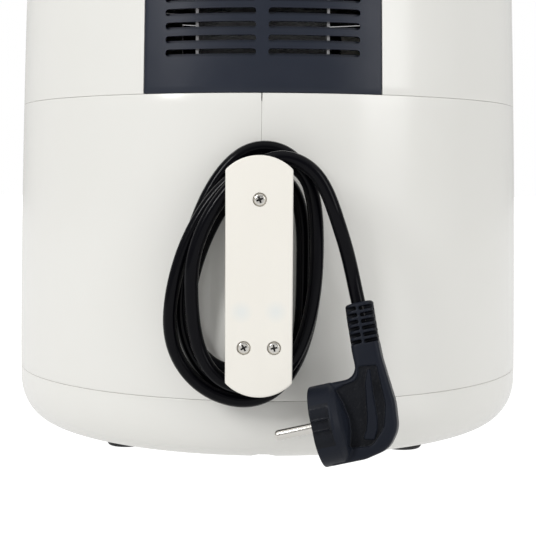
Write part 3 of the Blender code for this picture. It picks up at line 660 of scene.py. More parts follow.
CORD = plastic("cord_sheath", (0.0015, 0.0015, 0.0026), (0.0024, 0.0024, 0.0038),
               0.17, 0.05, 700.0, 0.01, ripple=0.04, gloss=0.1)
CERAMIC = plastic("ceramic", (0.74, 0.71, 0.65), (0.68, 0.65, 0.59), 0.55, 0.05, 500.0, 0.03)
SHEET = metal("sheet_steel", (0.60, 0.60, 0.60), (0.52, 0.52, 0.53),
              0.3, 0.08, (1, 1, 30), 60.0, 0.006)
HEATER = metal("heater_steel", (0.34, 0.31, 0.28), (0.22, 0.20, 0.19),
               0.4, 0.08, (1, 1, 4), 300.0, 0.02)
BRIGHT = metal("bright_steel", (0.72, 0.70, 0.66), (0.64, 0.62, 0.58),
               0.22, 0.06, (1, 1, 6), 500.0, 0.006)
ALUMINIUM = metal("aluminium", (0.72, 0.72, 0.73), (0.64, 0.64, 0.66),
                  0.34, 0.08, (8, 8, 1), 200.0, 0.01)
BRASS = metal("brass", (0.72, 0.52, 0.24), (0.62, 0.44, 0.20), 0.32, 0.07, (1, 1, 8), 300.0, 0.01)
COATED = coated()
AMBER = lens("lamp_lens", (0.75, 0.16, 0.02), (0.62, 0.10, 0.01))
GREEN = lens("lamp_lens_green", (0.10, 0.46, 0.08), (0.07, 0.38, 0.05))
PRINT = plastic("dial_print", (0.75, 0.75, 0.74), (0.70, 0.70, 0.69), 0.45, 0.05, 900.0, 0.005)
# Dark grain of the cheek panels and the guide grooves, also painted into the neck's slots as their shade
PLUG_GRAIN_AND_SLOT_SHADE = plastic("plug_grain_and_slot_shade", (0.003, 0.0035, 0.005), (0.016, 0.018, 0.024),
                     0.36, 0.1, 700.0, 0.3, gloss=0.13)
PLUG_SKIN = plastic("plug_skin", (0.0085, 0.0105, 0.0165), (0.0125, 0.015, 0.0225),
                    0.42, 0.06, 1300.0, 0.06, gloss=0.12)
# Dark metal painted into the screws' cross recesses as their shade
RECESS_SHADE = metal("painted_recess_shade", (0.10, 0.095, 0.09), (0.05, 0.05, 0.05),
               0.5, 0.1, (1, 1, 1), 500.0, 0.01)
FLOOR = floor_look()

# ---------------------------------------------------------------- camera

CAMERA_TURN = math.radians(-1.35)
CAMERA_DISTANCE = 742.0
CAMERA_HEIGHT = 148.0
CAMERA_TILT = math.radians(4.27)
CAMERA_ROLL = math.radians(0.3)
CAMERA_LENS = 81.7


def make_camera():
    """Behind the fryer, a little above the middle of the cord bracket, looking slightly down."""
    data = bpy.data.cameras.new("camera")
    data.lens = CAMERA_LENS
    data.sensor_width = 36.0
    data.clip_start = 0.02
    data.clip_end = 60.0
    camera = bpy.data.objects.new("camera", data)
    bpy.context.scene.collection.objects.link(camera)
    across = CAMERA_DISTANCE * math.sin(CAMERA_TURN)
    along = CAMERA_DISTANCE * math.cos(CAMERA_TURN)
    camera.location = Vector((across, along + AXIS_Y, CAMERA_HEIGHT)) * MM
    level = Vector((-math.sin(CAMERA_TURN), -math.cos(CAMERA_TURN), 0))
    forward = level * math.cos(CAMERA_TILT) + Vector((0, 0, -math.sin(CAMERA_TILT)))
    roll = Matrix.Rotation(CAMERA_ROLL, 3, -forward)
    camera.rotation_euler = (roll @ forward.to_track_quat("-Z", "Y").to_matrix()).to_euler()
    bpy.context.scene.camera = camera


# ---------------------------------------------------------------- cord

CORD_RADIUS = 3.4
# The turns round the hub as (x, z, y, power): the four ends of each oval turn in the order
# they are reached, and how square the quarter that leads there is.
TURNS = (
    (35.9, 82.0, 150.5, 2.0),
    (-0.4, 150.5, 150.6, 1.6),
    (-20.7, 112.0, 151.5, 2.8),
    (5.0, 42.0, 154.5, 3.3),
    (38.5, 84.0, 157.2, 2.0),
    (0.4, 162.8, 157.0, 1.8),
    (-26.9, 112.0, 157.5, 2.7),
    (6.5, 39.8, 161.0, 2.2),
    (43.4, 78.0, 164.0, 2.0),
    (-6.0, 156.0, 164.2, 1.8),
    (-27.1, 114.0, 164.5, 2.9),
    (3.5, 47.6, 168.0, 2.2),
    (32.4, 102.0, 171.0, 2.75),
    (-11.5, 158.3, 171.3, 1.68),
)
# Where the free end leaves the last turn, as (x, y, z)
LEAVING = ((-18.7, 171.5, 155.6), (-25.3, 171.5, 151.5), (-30.0, 171.5, 144.5))
# The free end down to the plug, the same points as the CAD tube's, as (x, y, z)
TAIL_ROUTE = (
    (-33.5, 171.5, 137.0),
    (-36.3, 171.0, 128.2),
    (-39.6, 168.4, 118.8),
    (-43.2, 164.8, 105.7),
    (-46.2, 165.4, 91.6),
)
QUARTER_STEPS = 10
# The sleeve that the cord comes out of, as its axis's place behind and above the body's axis
GLAND_Y = 153.0
GLAND_Z = 53.0
CORD_INSIDE_GLAND = 6.0


def quarter(start, end, power, steps, upright):
    """Points after start on a quarter of a superellipse. It leaves start upright or level."""
    points = []
    for step in range(1, steps + 1):
        angle = math.pi / 2 * step / steps
        rise = math.sin(angle) ** (2 / power)
        fall = 1 - max(0.0, math.cos(angle)) ** (2 / power)
        across, up = (fall, rise) if upright else (rise, fall)
        points.append((start[0] + (end[0] - start[0]) * across,
                       start[1] + (end[1] - start[1]) * up))
    return points


def spaced(points, gap):
    """The same line with points an even gap apart."""
    route = [Vector(points[0])]
    left = gap
    for start, end in zip(points, points[1:]):
        start = Vector(start)
        step = Vector(end) - start
        long = step.length
        gone = left
        while gone <= long:
            route.append(start + step * (gone / long))
            gone += gap
        left = gone - long
    route.append(Vector(points[-1]))
    return route


def relaxed(points, passes):
    """The line with its small kinks smoothed out. Its ends stay."""
    for _ in range(passes):
        inner = [(before + here * 2 + after) / 4
                 for before, here, after in zip(points, points[1:], points[2:])]
        points = [points[0], *inner, points[-1]]
    return points


def smooth_route(points, spacing):
    """Points about a spacing apart along the smooth curve through the given points."""
    route = [Vector(point) for point in points]
    ends = [route[0] * 2 - route[1], *route, route[-1] * 2 - route[-2]]
    result = [route[0]]
    for index in range(len(route) - 1):
        before, start, end, after = ends[index : index + 4]
        steps = max(1, round((end - start).length / spacing))
        for step in range(1, steps + 1):
            t = step / steps
            result.append(
                0.5
                * (
                    2 * start
                    + (end - before) * t
                    + (2 * before - 5 * start + 4 * end - after) * t**2
                    + (3 * start - before - 3 * end + after) * t**3
                )
            )
    return result


def cord_line():
    """From the gland, round the hub turn by turn, and down the free end to the plug."""
    mouth = node_box("cord_gland")[1].x
    depth = GLAND_Y
    line = [Vector((mouth - CORD_INSIDE_GLAND, depth, GLAND_Z)), Vector((mouth, depth, GLAND_Z))]
    here = (mouth, GLAND_Z)
    for index, (x, z, y, power) in enumerate(TURNS):
        points = quarter(here, (x, z), power, QUARTER_STEPS, upright=index % 2 == 1)
        for step, (across, up) in enumerate(points, start=1):
            line.append(Vector((across, depth + (y - depth) * step / QUARTER_STEPS, up)))
        here = (x, z)
        depth = y
    socket = PLUG_FACE + PLUG_TURN @ PLUG_SOCKET
    free = smooth_route([line[-1], *LEAVING, *TAIL_ROUTE, tuple(socket)], 3.0)
    line += free[1:]
    return relaxed(spaced(line, 1.6), 24)


def make_cord(with_pieces):
    """The cord from the sleeve to the plug, with its turns round the hub."""
    line = cord_line()
    cord = wire("power_cord", line, CORD_RADIUS, CORD, stands_for=("cord_winding", "cord_tail"))


# ---------------------------------------------------------------- plug

PLUG_FACE = Vector((-27.8, 172.0, 30.0))
PLUG_DROP = math.radians(14.0)
PLUG_INWARD = math.radians(7.7)
PLUG_LEAN = math.radians(10.0)
PLUG_TURN = (Matrix.Rotation(math.pi - PLUG_INWARD, 3, "Z") @ Matrix.Rotation(-PLUG_DROP, 3, "Y")
             @ Matrix.Rotation(-PLUG_LEAN, 3, "X"))
# Where the cord ends in the plug's neck
PLUG_SOCKET = Vector((31.9, 0, 44.0))
PLUG_RADIUS = 19.3
PLUG_CHEEK = 6.6
PLUG_EDGE = 2.4
PLUG_DISC = 10.6
PANEL_DEPTH = 1.3
MOULD_VOXEL = 0.36
MOULD_PASSES = 3
SLOT_ROWS = 6
SLOT_LOW = 34.9
SLOT_PITCH = 3.15
SLOT_HALF = 0.9
SLOT_DEPTH = 1.8
PIN_RADIUS = 2.4
PIN_LENGTH = 19.0
PIN_PLACES = (-9.5, 9.5)
# Side of the cheeks behind the plug's face, up to the neck, as (back, up, corner radius)
PLUG_SIDE = (
    (4.0, -19.2, 0.5),
    (20.0, -19.2, 14.0),
    (31.5, -16.8, 12.0),
    (37.8, -8.5, 14.0),
    (39.1, 4.0, 20.0),
    (37.4, 26.0, 20.0),
    (37.4, 32.0, 0.5),
    (24.2, 32.0, 0.5),
    (24.2, 18.8, 6.0),
    (4.0, 19.0, 0.5),
)
# The sunk panel in each cheek, and the raised rib in it
PLUG_PANEL = (
    (13.4, -12.8, 1.5),
    (15.6, -6.0, 6.0),
    (16.3, 0.5, 6.0),
    (15.0, 8.5, 6.0),
    (12.8, 15.2, 1.0),
    (17.0, 16.6, 2.0),
    (24.0, 17.6, 4.0),
    (26.0, 23.8, 0.8),
    (34.6, 22.6, 0.8),
    (34.9, 4.0, 12.0),
    (32.0, -6.5, 8.0),
    (24.5, -14.0, 5.0),
)
PLUG_RIB = (
    (21.3, -9.8, 0.8),
    (23.6, -6.0, 4.0),
    (25.3, -0.5, 6.0),
    (26.4, 7.0, 10.0),
    (27.6, 15.0, 10.0),
    (29.9, 21.2, 0.5),
    (30.9, 20.9, 0.5),
    (29.9, 10.0, 12.0),
    (29.4, -1.5, 8.0),
    (28.4, -6.5, 4.0),
    (26.0, -10.9, 0.8),
)


# The neck from below, as (height, near side, far side, half thickness, corner radius)
NECK_LEVELS = (
    (14.0, 24.8, 37.6, 6.0, 2.4),
    (20.0, 24.3, 37.4, 6.65, 2.4),
    (33.0, 24.3, 37.5, 6.6, 2.6),
    (36.0, 24.4, 37.6, 6.4, 3.4),
    (46.0, 24.8, 38.2, 6.1, 4.2),
    (52.4, 25.3, 38.7, 5.8, 4.4),
    (53.2, 26.1, 37.9, 5.0, 4.2),
)


def plug_disc():
    """The round face with the domed back that runs out into the cheeks."""
    outline = fillet([
        (0, 0, 0),
        (PLUG_RADIUS, 0, 0.8),
        (PLUG_RADIUS, PLUG_DISC, 0.5),
        (17.4, 13.2, 0),
        (15.4, 14.5, 0),
        (10.6, 16.4, 0),
        (6.6, 17.3, 0),
        (0, 18.0, 0),
    ])
    return placed(lathe(outline, 96), turn=ALONG_X)


def cheek_cut(outline, inner, outer):
    """A tool as the outline in both cheeks, from inner to outer."""
    points = fillet(outline, 5)
    return merge(prism(points, inner, outer, "xzy"), prism(points, -outer, -inner, "xzy"))


def strain_slots():
    """Staggered rows of slots in the neck, to let it bend."""
    tools = []
    for row in range(SLOT_ROWS):
        level = SLOT_LOW + SLOT_PITCH * row
        middle = 30.6 + 0.12 * row
        tools.append(box((20.0, -SLOT_DEPTH, level + 0.9), (middle - 1.6, SLOT_DEPTH, level + 2.2)))
        tools.append(box((middle + 2.0, -SLOT_DEPTH, level + 0.6), (46.0, SLOT_DEPTH, level + 1.9)))
        for side in (-1, 1):
            low, high = sorted((side * 2.7, side * 12.0))
            tools.append(box((20.0, low, level - SLOT_HALF),
                             (middle - 0.5, high, level + SLOT_HALF)))
            tools.append(box((middle + 0.7, low, level - SLOT_HALF - 0.4),
                             (46.0, high, level + SLOT_HALF - 0.4)))
    return merge(*tools)


def neck():
    """The neck that turns from flat cheeks into a round-cornered sleeve."""
    return loft([(rounded_box((low, -half), (high, half), corner, 6), level)
                 for level, low, high, half, corner in NECK_LEVELS])


def in_outline(outline, a, b):
    """Whether a point is inside a closed outline."""
    inside = False
    for (a1, b1), (a2, b2) in zip(outline, outline[1:] + outline[:1]):
        if (b1 > b) != (b2 > b) and a < a1 + (a2 - a1) * (b - b1) / (b2 - b1):
            inside = not inside
    return inside


def guide_grooves():
    """A tool for the guide groove in each side of the disc and the flats above and below it."""
    tools = []
    flat = math.sqrt(PLUG_RADIUS**2 - 9.0**2) + 0.35
    for side in (-1, 1):
        low, high = sorted((side * (PLUG_RADIUS - 2.3), side * 30.0))
        tools.append(box((-2.0, low, -2.4), (8.6, high, 2.5)))
        low, high = sorted((side * flat, side * 30.0))
        for level in (-9.9, 2.7):
            tools.append(box((-2.0, low, level), (9.3, high, level + 7.2)))
    return merge(*tools)


def make_plug():
    """The angled plug as one moulded piece, with grained panels, painted shade inside the neck's slots,
    and its pins.
    """
    cheeks = rounded_slab(PLUG_SIDE, PLUG_CHEEK, PLUG_EDGE)
    shape = union(union(plug_disc(), cheeks), neck())
    shape = cut(shape, cheek_cut(PLUG_PANEL, PLUG_CHEEK - PANEL_DEPTH, 12.0))
    shape = union(shape, cheek_cut(PLUG_RIB, PLUG_CHEEK - 1.8, PLUG_CHEEK - 0.1))
    shape = cut(shape, strain_slots())
    shape = cut(shape, guide_grooves())
    shape = cut(shape, placed(lathe([(0, -1), (2.6, -1), (2.6, 9), (0, 9)], 24),
                              place=(0, 0, 9.6), turn=ALONG_X))
    shape = moulded_skin(shape, MOULD_VOXEL, MOULD_PASSES)
    panel = fillet(PLUG_PANEL, 5)
    disc_side = math.sqrt(PLUG_RADIUS**2 - 10.0**2)
    for face in shape.faces:
        back, across, up = face.calc_center_median()
        sunk = abs(across) < PLUG_CHEEK - 0.3 and abs(face.normal.y) > 0.8
        notch = abs(across) > disc_side - 1 and abs(up) < 10 and back < 9.4
        # Faces inside the neck's slots take the dark grained finish as painted shade
        shaded_slot = up > 33 and abs(across) < 4.7 and 24.8 < back < 38.2
        grain_or_slot_shade = notch or shaded_slot or (sunk and in_outline(panel, back, up))
        face.material_index = 1 if grain_or_slot_shade else 0
    body = piece("plug_moulding", shape, [PLUG_SKIN, PLUG_GRAIN_AND_SLOT_SHADE], stands_for=("plug_body",),
                 place=PLUG_FACE, turn=PLUG_TURN)
    return [body, *plug_pins()]


def plug_pins():
    """Two bright round-ended pins."""
    outline = fillet([
        (0, -PIN_LENGTH, 0),
        (PIN_RADIUS, -PIN_LENGTH, 1.9),
        (PIN_RADIUS, 3.0, 0),
        (0, 3.0, 0),
    ], 8)
    pins = []
    for index, across in enumerate(PIN_PLACES):
        pin = placed(lathe(outline, 40), turn=ALONG_X)
        placed(pin, (0, across, 0))
        name = f"pin_{index + 1}"
        pins.append(piece(name, pin, BRIGHT, stands_for=(f"plug_{name}",),
                          place=PLUG_FACE, turn=PLUG_TURN))
    return pins


def make_gland():
    """The ribbed, tapered sleeve that the cord comes out of, beside the hub."""
    low, high = node_box("cord_gland")
    length = high.x - low.x
    outline = [(0, 0), (4.4, 0), (4.4, 4.6), (4.2, 5.4)]
    for row in range(4):
        level = 6.6 + 3.2 * row
        wide = 4.15 - 0.08 * row
        outline += [(wide, level), (wide - 0.6, level + 0.3),
                    (wide - 0.6, level + 1.3), (wide, level + 1.6)]
    outline += [(3.75, length - 0.6), (3.5, length), (0, length)]
    sleeve = placed(lathe(outline, 48), (low.x, GLAND_Y, GLAND_Z), ALONG_X)
    block = softened(box((low.x + 1, 148.4, 48.4), (low.x + 5, 157.0, 57.6)), 0.8)
    return piece("strain_relief", merge(sleeve, block), RUBBER, stands_for=("cord_gland",))


make_camera()
make_cord([*make_plug(), make_gland()])


# ---------------------------------------------------------------- shells

SEAM_HALF = 0.07
SHELL_EDGE = 0.3
TONGUE = 0.25
BACK_SEAM_HALF = 0.04
DRAWER_HALF = math.radians(51.0)
VENT_HALF = math.radians(24.05)
VENT_TOP = node_box("vent_grille")[1].z
PANEL_HALF = math.radians(26.95)
PANEL_LOW = node_box("control_panel")[0].z
PANEL_HIGH = node_box("control_panel")[1].z
BASE_RIM_FOOT = 28.0
BASE_FLOOR_RADIUS = 128.0
BASE_SCREW_PLACE = 45.0
FOOT_PLACE = 76.0
POST_PLACE = 62.0
POST_TOP = 39.0


def corner_places(reach):
    """The four places at that distance either side of the axis."""
    return [(x, y) for x in (-reach, reach) for y in (-reach, reach)]


def make_base():
    """The bowl-shaped base with its air slots, foot seats and screw bosses underneath."""
    steps = 26
    outside = [(0, BASE_BOTTOM)]
    for step in range(steps + 1):
        angle = math.pi / 2 * step / steps
        up = 1 - max(0.0, math.cos(angle)) ** (2 / BASE_CORNER_POWER)
        out = math.sin(angle) ** (2 / BASE_CORNER_POWER)
        outside.append((BODY_RADIUS - BASE_CORNER_WIDTH * (1 - out),
                        BASE_BOTTOM + BASE_CORNER_HEIGHT * up))
    top = LOW_SEAM - SEAM_HALF
    for step in range(4):
        angle = math.pi / 6 * step
        outside.append((BODY_RADIUS - SHELL_EDGE * (1 - math.cos(angle)),
                        top - SHELL_EDGE * (1 - math.sin(angle))))
    rim = BODY_RADIUS - WALL
    floor = BASE_BOTTOM + WALL
    tongue = [(BODY_RADIUS - 0.9, top), (BODY_RADIUS - 0.9, LOW_SEAM + TONGUE),
              (rim, LOW_SEAM + TONGUE)]
    inside = [(rim, BASE_RIM_FOOT), (BASE_FLOOR_RADIUS, floor), (0, floor)]
    shape = lathe(outside + tongue + inside, SHELL_STEPS)
    notch = fillet([
        (-7.4, 0, 0), (4.9, 0, 0),
        (4.9, BASE_BOTTOM + 1.0, 0.4), (1.5, BASE_BOTTOM + 2.4, 4.0),
        (-4.0, BASE_BOTTOM + 2.4, 4.0), (-7.4, BASE_BOTTOM + 1.0, 0.4),
    ])
    tools = [prism(notch, 122.0, 146.0, "xzy")]
    for column in range(-6, 7):
        outline = rounded_box((column * 6.0 - 1.5, -24.0), (column * 6.0 + 1.5, 24.0), 1.4)
        tools.append(prism(outline, 0.0, 20.0))
    for x, y in corner_places(FOOT_PLACE):
        groove = [(11.3, 0.0), (12.3, 0.0), (12.3, BASE_BOTTOM + 0.8), (11.3, BASE_BOTTOM + 0.8)]
        tools.append(placed(lathe(groove, 48), (x, y, 0)))
    shape = cut(shape, merge(*tools))
    bosses = []
    for x, y in corner_places(BASE_SCREW_PLACE):
        ring = fillet([(4.8, 3.9, 0.5), (7.0, 3.9, 0.8), (7.4, 6.2, 0), (4.8, 6.2, 0)])
        bosses.append(placed(lathe(ring, 40), (x, y, 0)))
    for x, y in corner_places(POST_PLACE):
        post = [(0, floor - 1), (5.5, floor - 1), (5.5, POST_TOP), (0, POST_TOP)]
        bosses.append(placed(lathe(post, 32), (x, y, 0)))
    piece("base_shell", merge(shape, *bosses), GLOSSY_WHITE, stands_for=("base_pan",))


def make_housings():
    """Two side walls that meet at the back, with the latch notch at the top of their seam."""
    outline = wall_profile(LOW_SEAM + SEAM_HALF, HIGH_SEAM - SEAM_HALF, 28, WALL, SHELL_EDGE)
    near = FRONT + DRAWER_HALF + math.radians(0.2)
    far = BACK - BACK_SEAM_HALF / BODY_RADIUS
    notch = box((-0.28, 138.0, HIGH_SEAM - 4.0), (0.28, 152.0, HIGH_SEAM + 2.0))
    for side, name in ((1, "right"), (-1, "left")):
        middle = BACK + side * ((near + far) / 2 - BACK)
        shape = sector(outline, middle, (far - near) / 2, 96, SHELL_EDGE)
        shape = cut(shape, placed(notch.copy()))
        piece(f"side_{name}", shape, GLOSSY_WHITE, stands_for=(f"housing_{name}",))
    notch.free()


def window_tool(middle, half, low, high):
    """A tool that opens a window in the round wall."""
    outline = fillet([(BODY_RADIUS - 18, low, 0), (BODY_RADIUS + 12, low, 0),
                      (BODY_RADIUS + 12, high, 0), (BODY_RADIUS - 18, high, 0)])
    return lathe(outline, 48, middle - half, 2 * half)


def make_upper_housing():
    """The upper ring, with windows for the outlet grille and the dials."""
    low = HIGH_SEAM + SEAM_HALF
    high = COVER_SEAM - SEAM_HALF
    outline = wall_profile(low, high, 16, WALL, SHELL_EDGE)
    rim = skin(HIGH_SEAM)
    outline += [(rim - WALL, HIGH_SEAM - TONGUE), (rim - 0.9, HIGH_SEAM - TONGUE), (rim - 0.9, low)]
    shape = lathe(outline, SHELL_STEPS)
    vent = window_tool(BACK, VENT_HALF + math.radians(0.16), low - 5, VENT_TOP + 0.4)
    panel = window_tool(FRONT, PANEL_HALF + math.radians(0.16), PANEL_LOW - 0.4, PANEL_HIGH + 0.4)
    shape = cut(shape, merge(vent, panel))
    piece("upper_shell", shape, GLOSSY_WHITE, stands_for=("upper_housing",))


COVER_RING = 96.0


def make_cover():
    """The domed lid with a shallow ring pressed into its top."""
    low = COVER_SEAM + SEAM_HALF
    outside = []
    for step in range(4):
        angle = math.pi / 6 * step
        outside.append((skin(low + SHELL_EDGE) - SHELL_EDGE * (1 - math.sin(angle)),
                        low + SHELL_EDGE * (1 - math.cos(angle))))
    steps = 60
    for step in range(1, steps):
        angle = math.pi / 2 * step / steps
        height = DOME_START + (BODY_TOP - DOME_START) * math.sin(angle) ** (2 / DOME_POWER)
        radius = skin(height)
        ring = max(0.0, 1 - abs(radius - COVER_RING) / 2.2)
        outside.append((radius, height - 0.7 * ring))
    outside.append((0, BODY_TOP))
    inside = [(0, BODY_TOP - WALL)]
    for step in range(16, 0, -1):
        angle = math.pi / 2 * step / 17
        height = DOME_START + (BODY_TOP - DOME_START) * math.sin(angle) ** (2 / DOME_POWER)
        inside.append((skin(height) - WALL, height - WALL))
    inside.append((skin(low) - WALL, low))
    piece("cover_shell", lathe(outside + inside, SHELL_STEPS), GLOSSY_WHITE,
          stands_for=("top_cover",))


VENT_ROW = 207.0
VENT_PITCH = 6.6
VENT_SLOT = 3.5
VENT_ROWS = 6


def make_vent():
    """The black air outlet: a plain lower band, then rows of slots with slanted blades behind."""
    low = HIGH_SEAM + 0.12
    shape = sector(wall_profile(low, VENT_TOP, 20, WALL, 0.35), BACK, VENT_HALF, 60, 0.35)
    tools = []
    blades = []
    for row in range(VENT_ROWS):
        height = VENT_ROW + VENT_PITCH * row
        for side in (-1, 1):
            left, right = sorted((side * 3.0, side * 48.0))
            outline = rounded_box((left, height), (right, height + VENT_SLOT), 1.6)
            tools.append(prism(outline, 120.0, 160.0, "xzy"))
        near = skin(height) - WALL - 0.05
        blade = fillet([(near - 4.6, height - 2.4, 0.3), (near, height + 0.2, 0),
                        (near, height + 1.3, 0), (near - 4.6, height - 1.3, 0.3)])
        blades.append(lathe(blade, 40, BACK - math.radians(20.5), math.radians(41.0)))
    shape = cut(shape, merge(*tools))
    piece("outlet_grille", merge(shape, *blades), BLACK, stands_for=("vent_grille",))


# ---------------------------------------------------------------- controls

KNOB_ANGLE = math.radians(13.5)
KNOB_HEIGHT = (node_box("timer_knob")[0].z + node_box("timer_knob")[1].z) / 2
KNOB_RADIUS = 19.2
KNOB_TOP = 16.0
KNOB_FLUTES = 36
FLUTE_DEPTH = 0.28
TIMER_MINUTES = (0, 5, 10, 15, 20, 25, 30)
TIMER_TURN = math.radians(300)
HEAT_DEGREES = (80, 100, 120, 140, 160, 180, 200)
HEAT_TURN = math.radians(270)
TICK_INNER = 20.9
LABEL_PLACE = 25.4
LABEL_SIZE = 3.0


def wrapped(shape, middle):
    """Drawing of (across, height, out) bent round the skin, so that it stands out from it."""
    for vert in shape.verts:
        across, height, out = vert.co
        reach = skin(height) + out
        angle = middle + across / skin(KNOB_HEIGHT)
        vert.co = (reach * math.cos(angle), reach * math.sin(angle), height)
    return shape


def label(text, across, height):
    """A number as a thin raised print."""
    curve = bpy.data.curves.new("label", "FONT")
    curve.body = text
    curve.size = LABEL_SIZE
    curve.align_x = "CENTER"
    curve.align_y = "CENTER"
    curve.extrude = 0.1
    return placed(curve_shape(curve), (across, height, -0.04))


def dial_marks(angle, turn, numbers):
    """Ticks and numbers round a knob, from the top and clockwise."""
    shapes = []
    across = skin(KNOB_HEIGHT) * (angle - FRONT)
    minor = 2 * (len(numbers) - 1)
    for index in range(minor + 1):
        long = index % 2 == 0
        half, outer = (0.28, TICK_INNER + 1.9) if long else (0.18, TICK_INNER + 1.2)
        tick = box((-half, TICK_INNER, -0.1), (half, outer, 0.07))
        at = turn * index / minor
        shapes.append(placed(tick, (across, KNOB_HEIGHT, 0), Matrix.Rotation(-at, 3, "Z")))
        if long:
            place = (across + LABEL_PLACE * math.sin(at), KNOB_HEIGHT + LABEL_PLACE * math.cos(at))
            shapes.append(label(str(numbers[index // 2]), *place))
    return merge(*shapes)


def make_panel():
    """The dark control panel, its dials' print, and two lamps in bright rings."""
    outline = wall_profile(PANEL_LOW, PANEL_HIGH, 14, WALL, 0.35)
    shape = sector(outline, FRONT, PANEL_HALF, 60, 0.35)
    piece("dial_panel", shape, DARK, stands_for=("control_panel",))
    timer = dial_marks(FRONT - KNOB_ANGLE, TIMER_TURN, TIMER_MINUTES)
    heat = dial_marks(FRONT + KNOB_ANGLE, HEAT_TURN, HEAT_DEGREES)
    piece("dial_marks", wrapped(merge(timer, heat), FRONT), PRINT)
    outward = turn_to((0, -1, 0))
    for name, look in (("power_lamp_lens", AMBER), ("heating_lamp_lens", GREEN)):
        low, high = node_box(name)
        height = (low.z + high.z) / 2
        place = (0, -skin(height), height)
        dome = [(0, -4), (2.05, -4), (2.05, 0.1)]
        for step in range(1, 9):
            angle = math.pi / 16 * step
            dome.append((2.05 * math.cos(angle), 0.1 + 0.7 * math.sin(angle)))
        dome[-1] = (0, 0.8)
        piece(name.replace("lens", "dome"), lathe(dome, 32), look, stands_for=(name,),
              place=place, turn=outward)
        ring = fillet([(2.2, -1.0, 0), (3.2, -1.0, 0), (3.2, 0.5, 0.3), (2.2, 0.4, 0.2)])
        piece(name.replace("lens", "ring"), lathe(ring, 40), BRIGHT, place=place, turn=outward)


def knob_flute(angle):
    """How far the fluted skirt stands out at an angle."""
    return FLUTE_DEPTH * math.cos(KNOB_FLUTES * angle)


def make_knobs():
    """Two knobs: a fluted skirt, a raised grip across it, and a pointer line."""
    outline = fillet([
        (0, -12.0, 0), (3.0, -12.0, 0), (3.0, 1.4, 0), (KNOB_RADIUS, 1.4, 0.4),
        (KNOB_RADIUS - 0.5, 8.6, 1.2), (KNOB_RADIUS - 3.2, 8.6, 0.5),
        (KNOB_RADIUS - 4.0, 8.0, 0.4), (0, 8.0, 0),
    ])
    rings = []
    for reach, half, level in ((16.0, 3.9, 6.0), (15.6, 3.5, 11.0), (15.2, 3.2, 14.8),
                               (14.9, 2.9, 15.6), (14.3, 2.3, KNOB_TOP)):
        rings.append((rounded_box((-reach, -half), (reach, half), half - 0.1, 8), level))
    knobs = ((-1, "timer_knob", "timer_dial"), (1, "temperature_knob", "temperature_dial"))
    for side, name, body in knobs:
        angle = FRONT + side * KNOB_ANGLE
        reach = skin(KNOB_HEIGHT)
        place = (reach * math.cos(angle), reach * math.sin(angle), KNOB_HEIGHT)
        turn = Matrix.Rotation(angle, 3, "Z") @ ALONG_X
        skirt = lathe(outline, 216, flute=knob_flute)
        piece(name.replace("knob", "dial"), merge(skirt, loft(rings)), GREY, body=body,
              stands_for=(name,), place=place, turn=turn)
        line = softened(box((-13.6, -0.5, 15.4), (-4.0, 0.5, KNOB_TOP)), 0.15, 2)
        piece(name.replace("knob", "pointer"), line, PRINT, body=body, place=place, turn=turn)


# ---------------------------------------------------------------- drawer

HANDLE_LOW, HANDLE_HIGH = node_box("handle")
HANDLE_BAR = 14.0
HANDLE_FRONT = HANDLE_LOW.y - AXIS_Y
HANDLE_HALF = HANDLE_HIGH.x
HANDLE_SCREWS = (126.0, 106.0)
GRIP_RIDGES = 9


def make_drawer_front():
    """The curved front panel with ribs on its inner face."""
    low, high = node_box("drawer_front")
    wall = 3.0
    shape = sector(wall_profile(low.z, high.z, 28, wall, 0.8), FRONT, DRAWER_HALF, 100, 0.8)
    ribs = []
    for place in (-40, -27, -14, 14, 27, 40):
        middle = FRONT + math.radians(place)
        outline = []
        for height, reach in ((low.z + 8, 0.5), (high.z - 12, 0.5),
                              (high.z - 14, -3.5), (low.z + 10, -3.5)):
            outline.append((skin(height) - wall + reach, height))
        ribs.append(lathe(outline, 1, middle - 0.005, 0.01))
    for height in (low.z + 20, high.z - 24):
        reach = skin(height) - wall
        outline = [(reach - 3.0, height), (reach + 0.5, height),
                   (reach + 0.5, height + 1.6), (reach - 3.0, height + 1.6)]
        ribs.append(lathe(outline, 60, FRONT - math.radians(44), math.radians(88)))
    piece("drawer_shell", merge(shape, *ribs), GLOSSY_WHITE, body="drawer",
          stands_for=("drawer_front",))


def make_handle():
    """The loop handle, its soft grip with finger ridges, and two recessed screws."""
    low, high = HANDLE_LOW.z, HANDLE_HIGH.z
    root = -skin(low) + 2.0
    top_root = -skin(high) + 2.0
    bar = HANDLE_FRONT + HANDLE_BAR
    outline = fillet([
        (root, low, 0), (HANDLE_FRONT, low, 13.0), (HANDLE_FRONT, high, 13.0), (top_root, high, 0),
        (top_root, high - HANDLE_BAR, 0), (bar, high - HANDLE_BAR, 8.0),
        (bar, low + HANDLE_BAR, 8.0), (root, low + HANDLE_BAR, 0),
    ], 8)
    shape = softened(prism(outline, -HANDLE_HALF, HANDLE_HALF, "yzx"), 3.6, 5, 40)
    piece("handle_loop", shape, GLOSSY_WHITE, body="drawer", stands_for=("handle",))
    grip_low, grip_high = node_box("handle_insert")
    half = grip_high.x
    pad = softened(box((-half, bar - 1.0, grip_low.z), (half, bar + 2.4, grip_high.z)), 1.1, 3)
    ridges = []
    for index in range(GRIP_RIDGES):
        level = grip_low.z + 5 + (grip_high.z - grip_low.z - 10) * index / (GRIP_RIDGES - 1)
        if min(abs(level - height) for height in HANDLE_SCREWS) < 4.6:
            continue
        ridge = box((-half + 1.6, bar + 1.6, level - 0.7), (half - 1.6, bar + 3.0, level + 0.7))
        ridges.append(softened(ridge, 0.4, 2))
    piece("handle_grip", merge(pad, *ridges), GREY, body="drawer", stands_for=("handle_insert",))
    for height, name in zip(HANDLE_SCREWS, ("upper", "lower")):
        screw(f"grip_screw_{name}", 3.2, 1.2, f"handle_screw_{name}",
              (0, bar + 2.6, height), (0, 1, 0), 0.4, body="drawer")


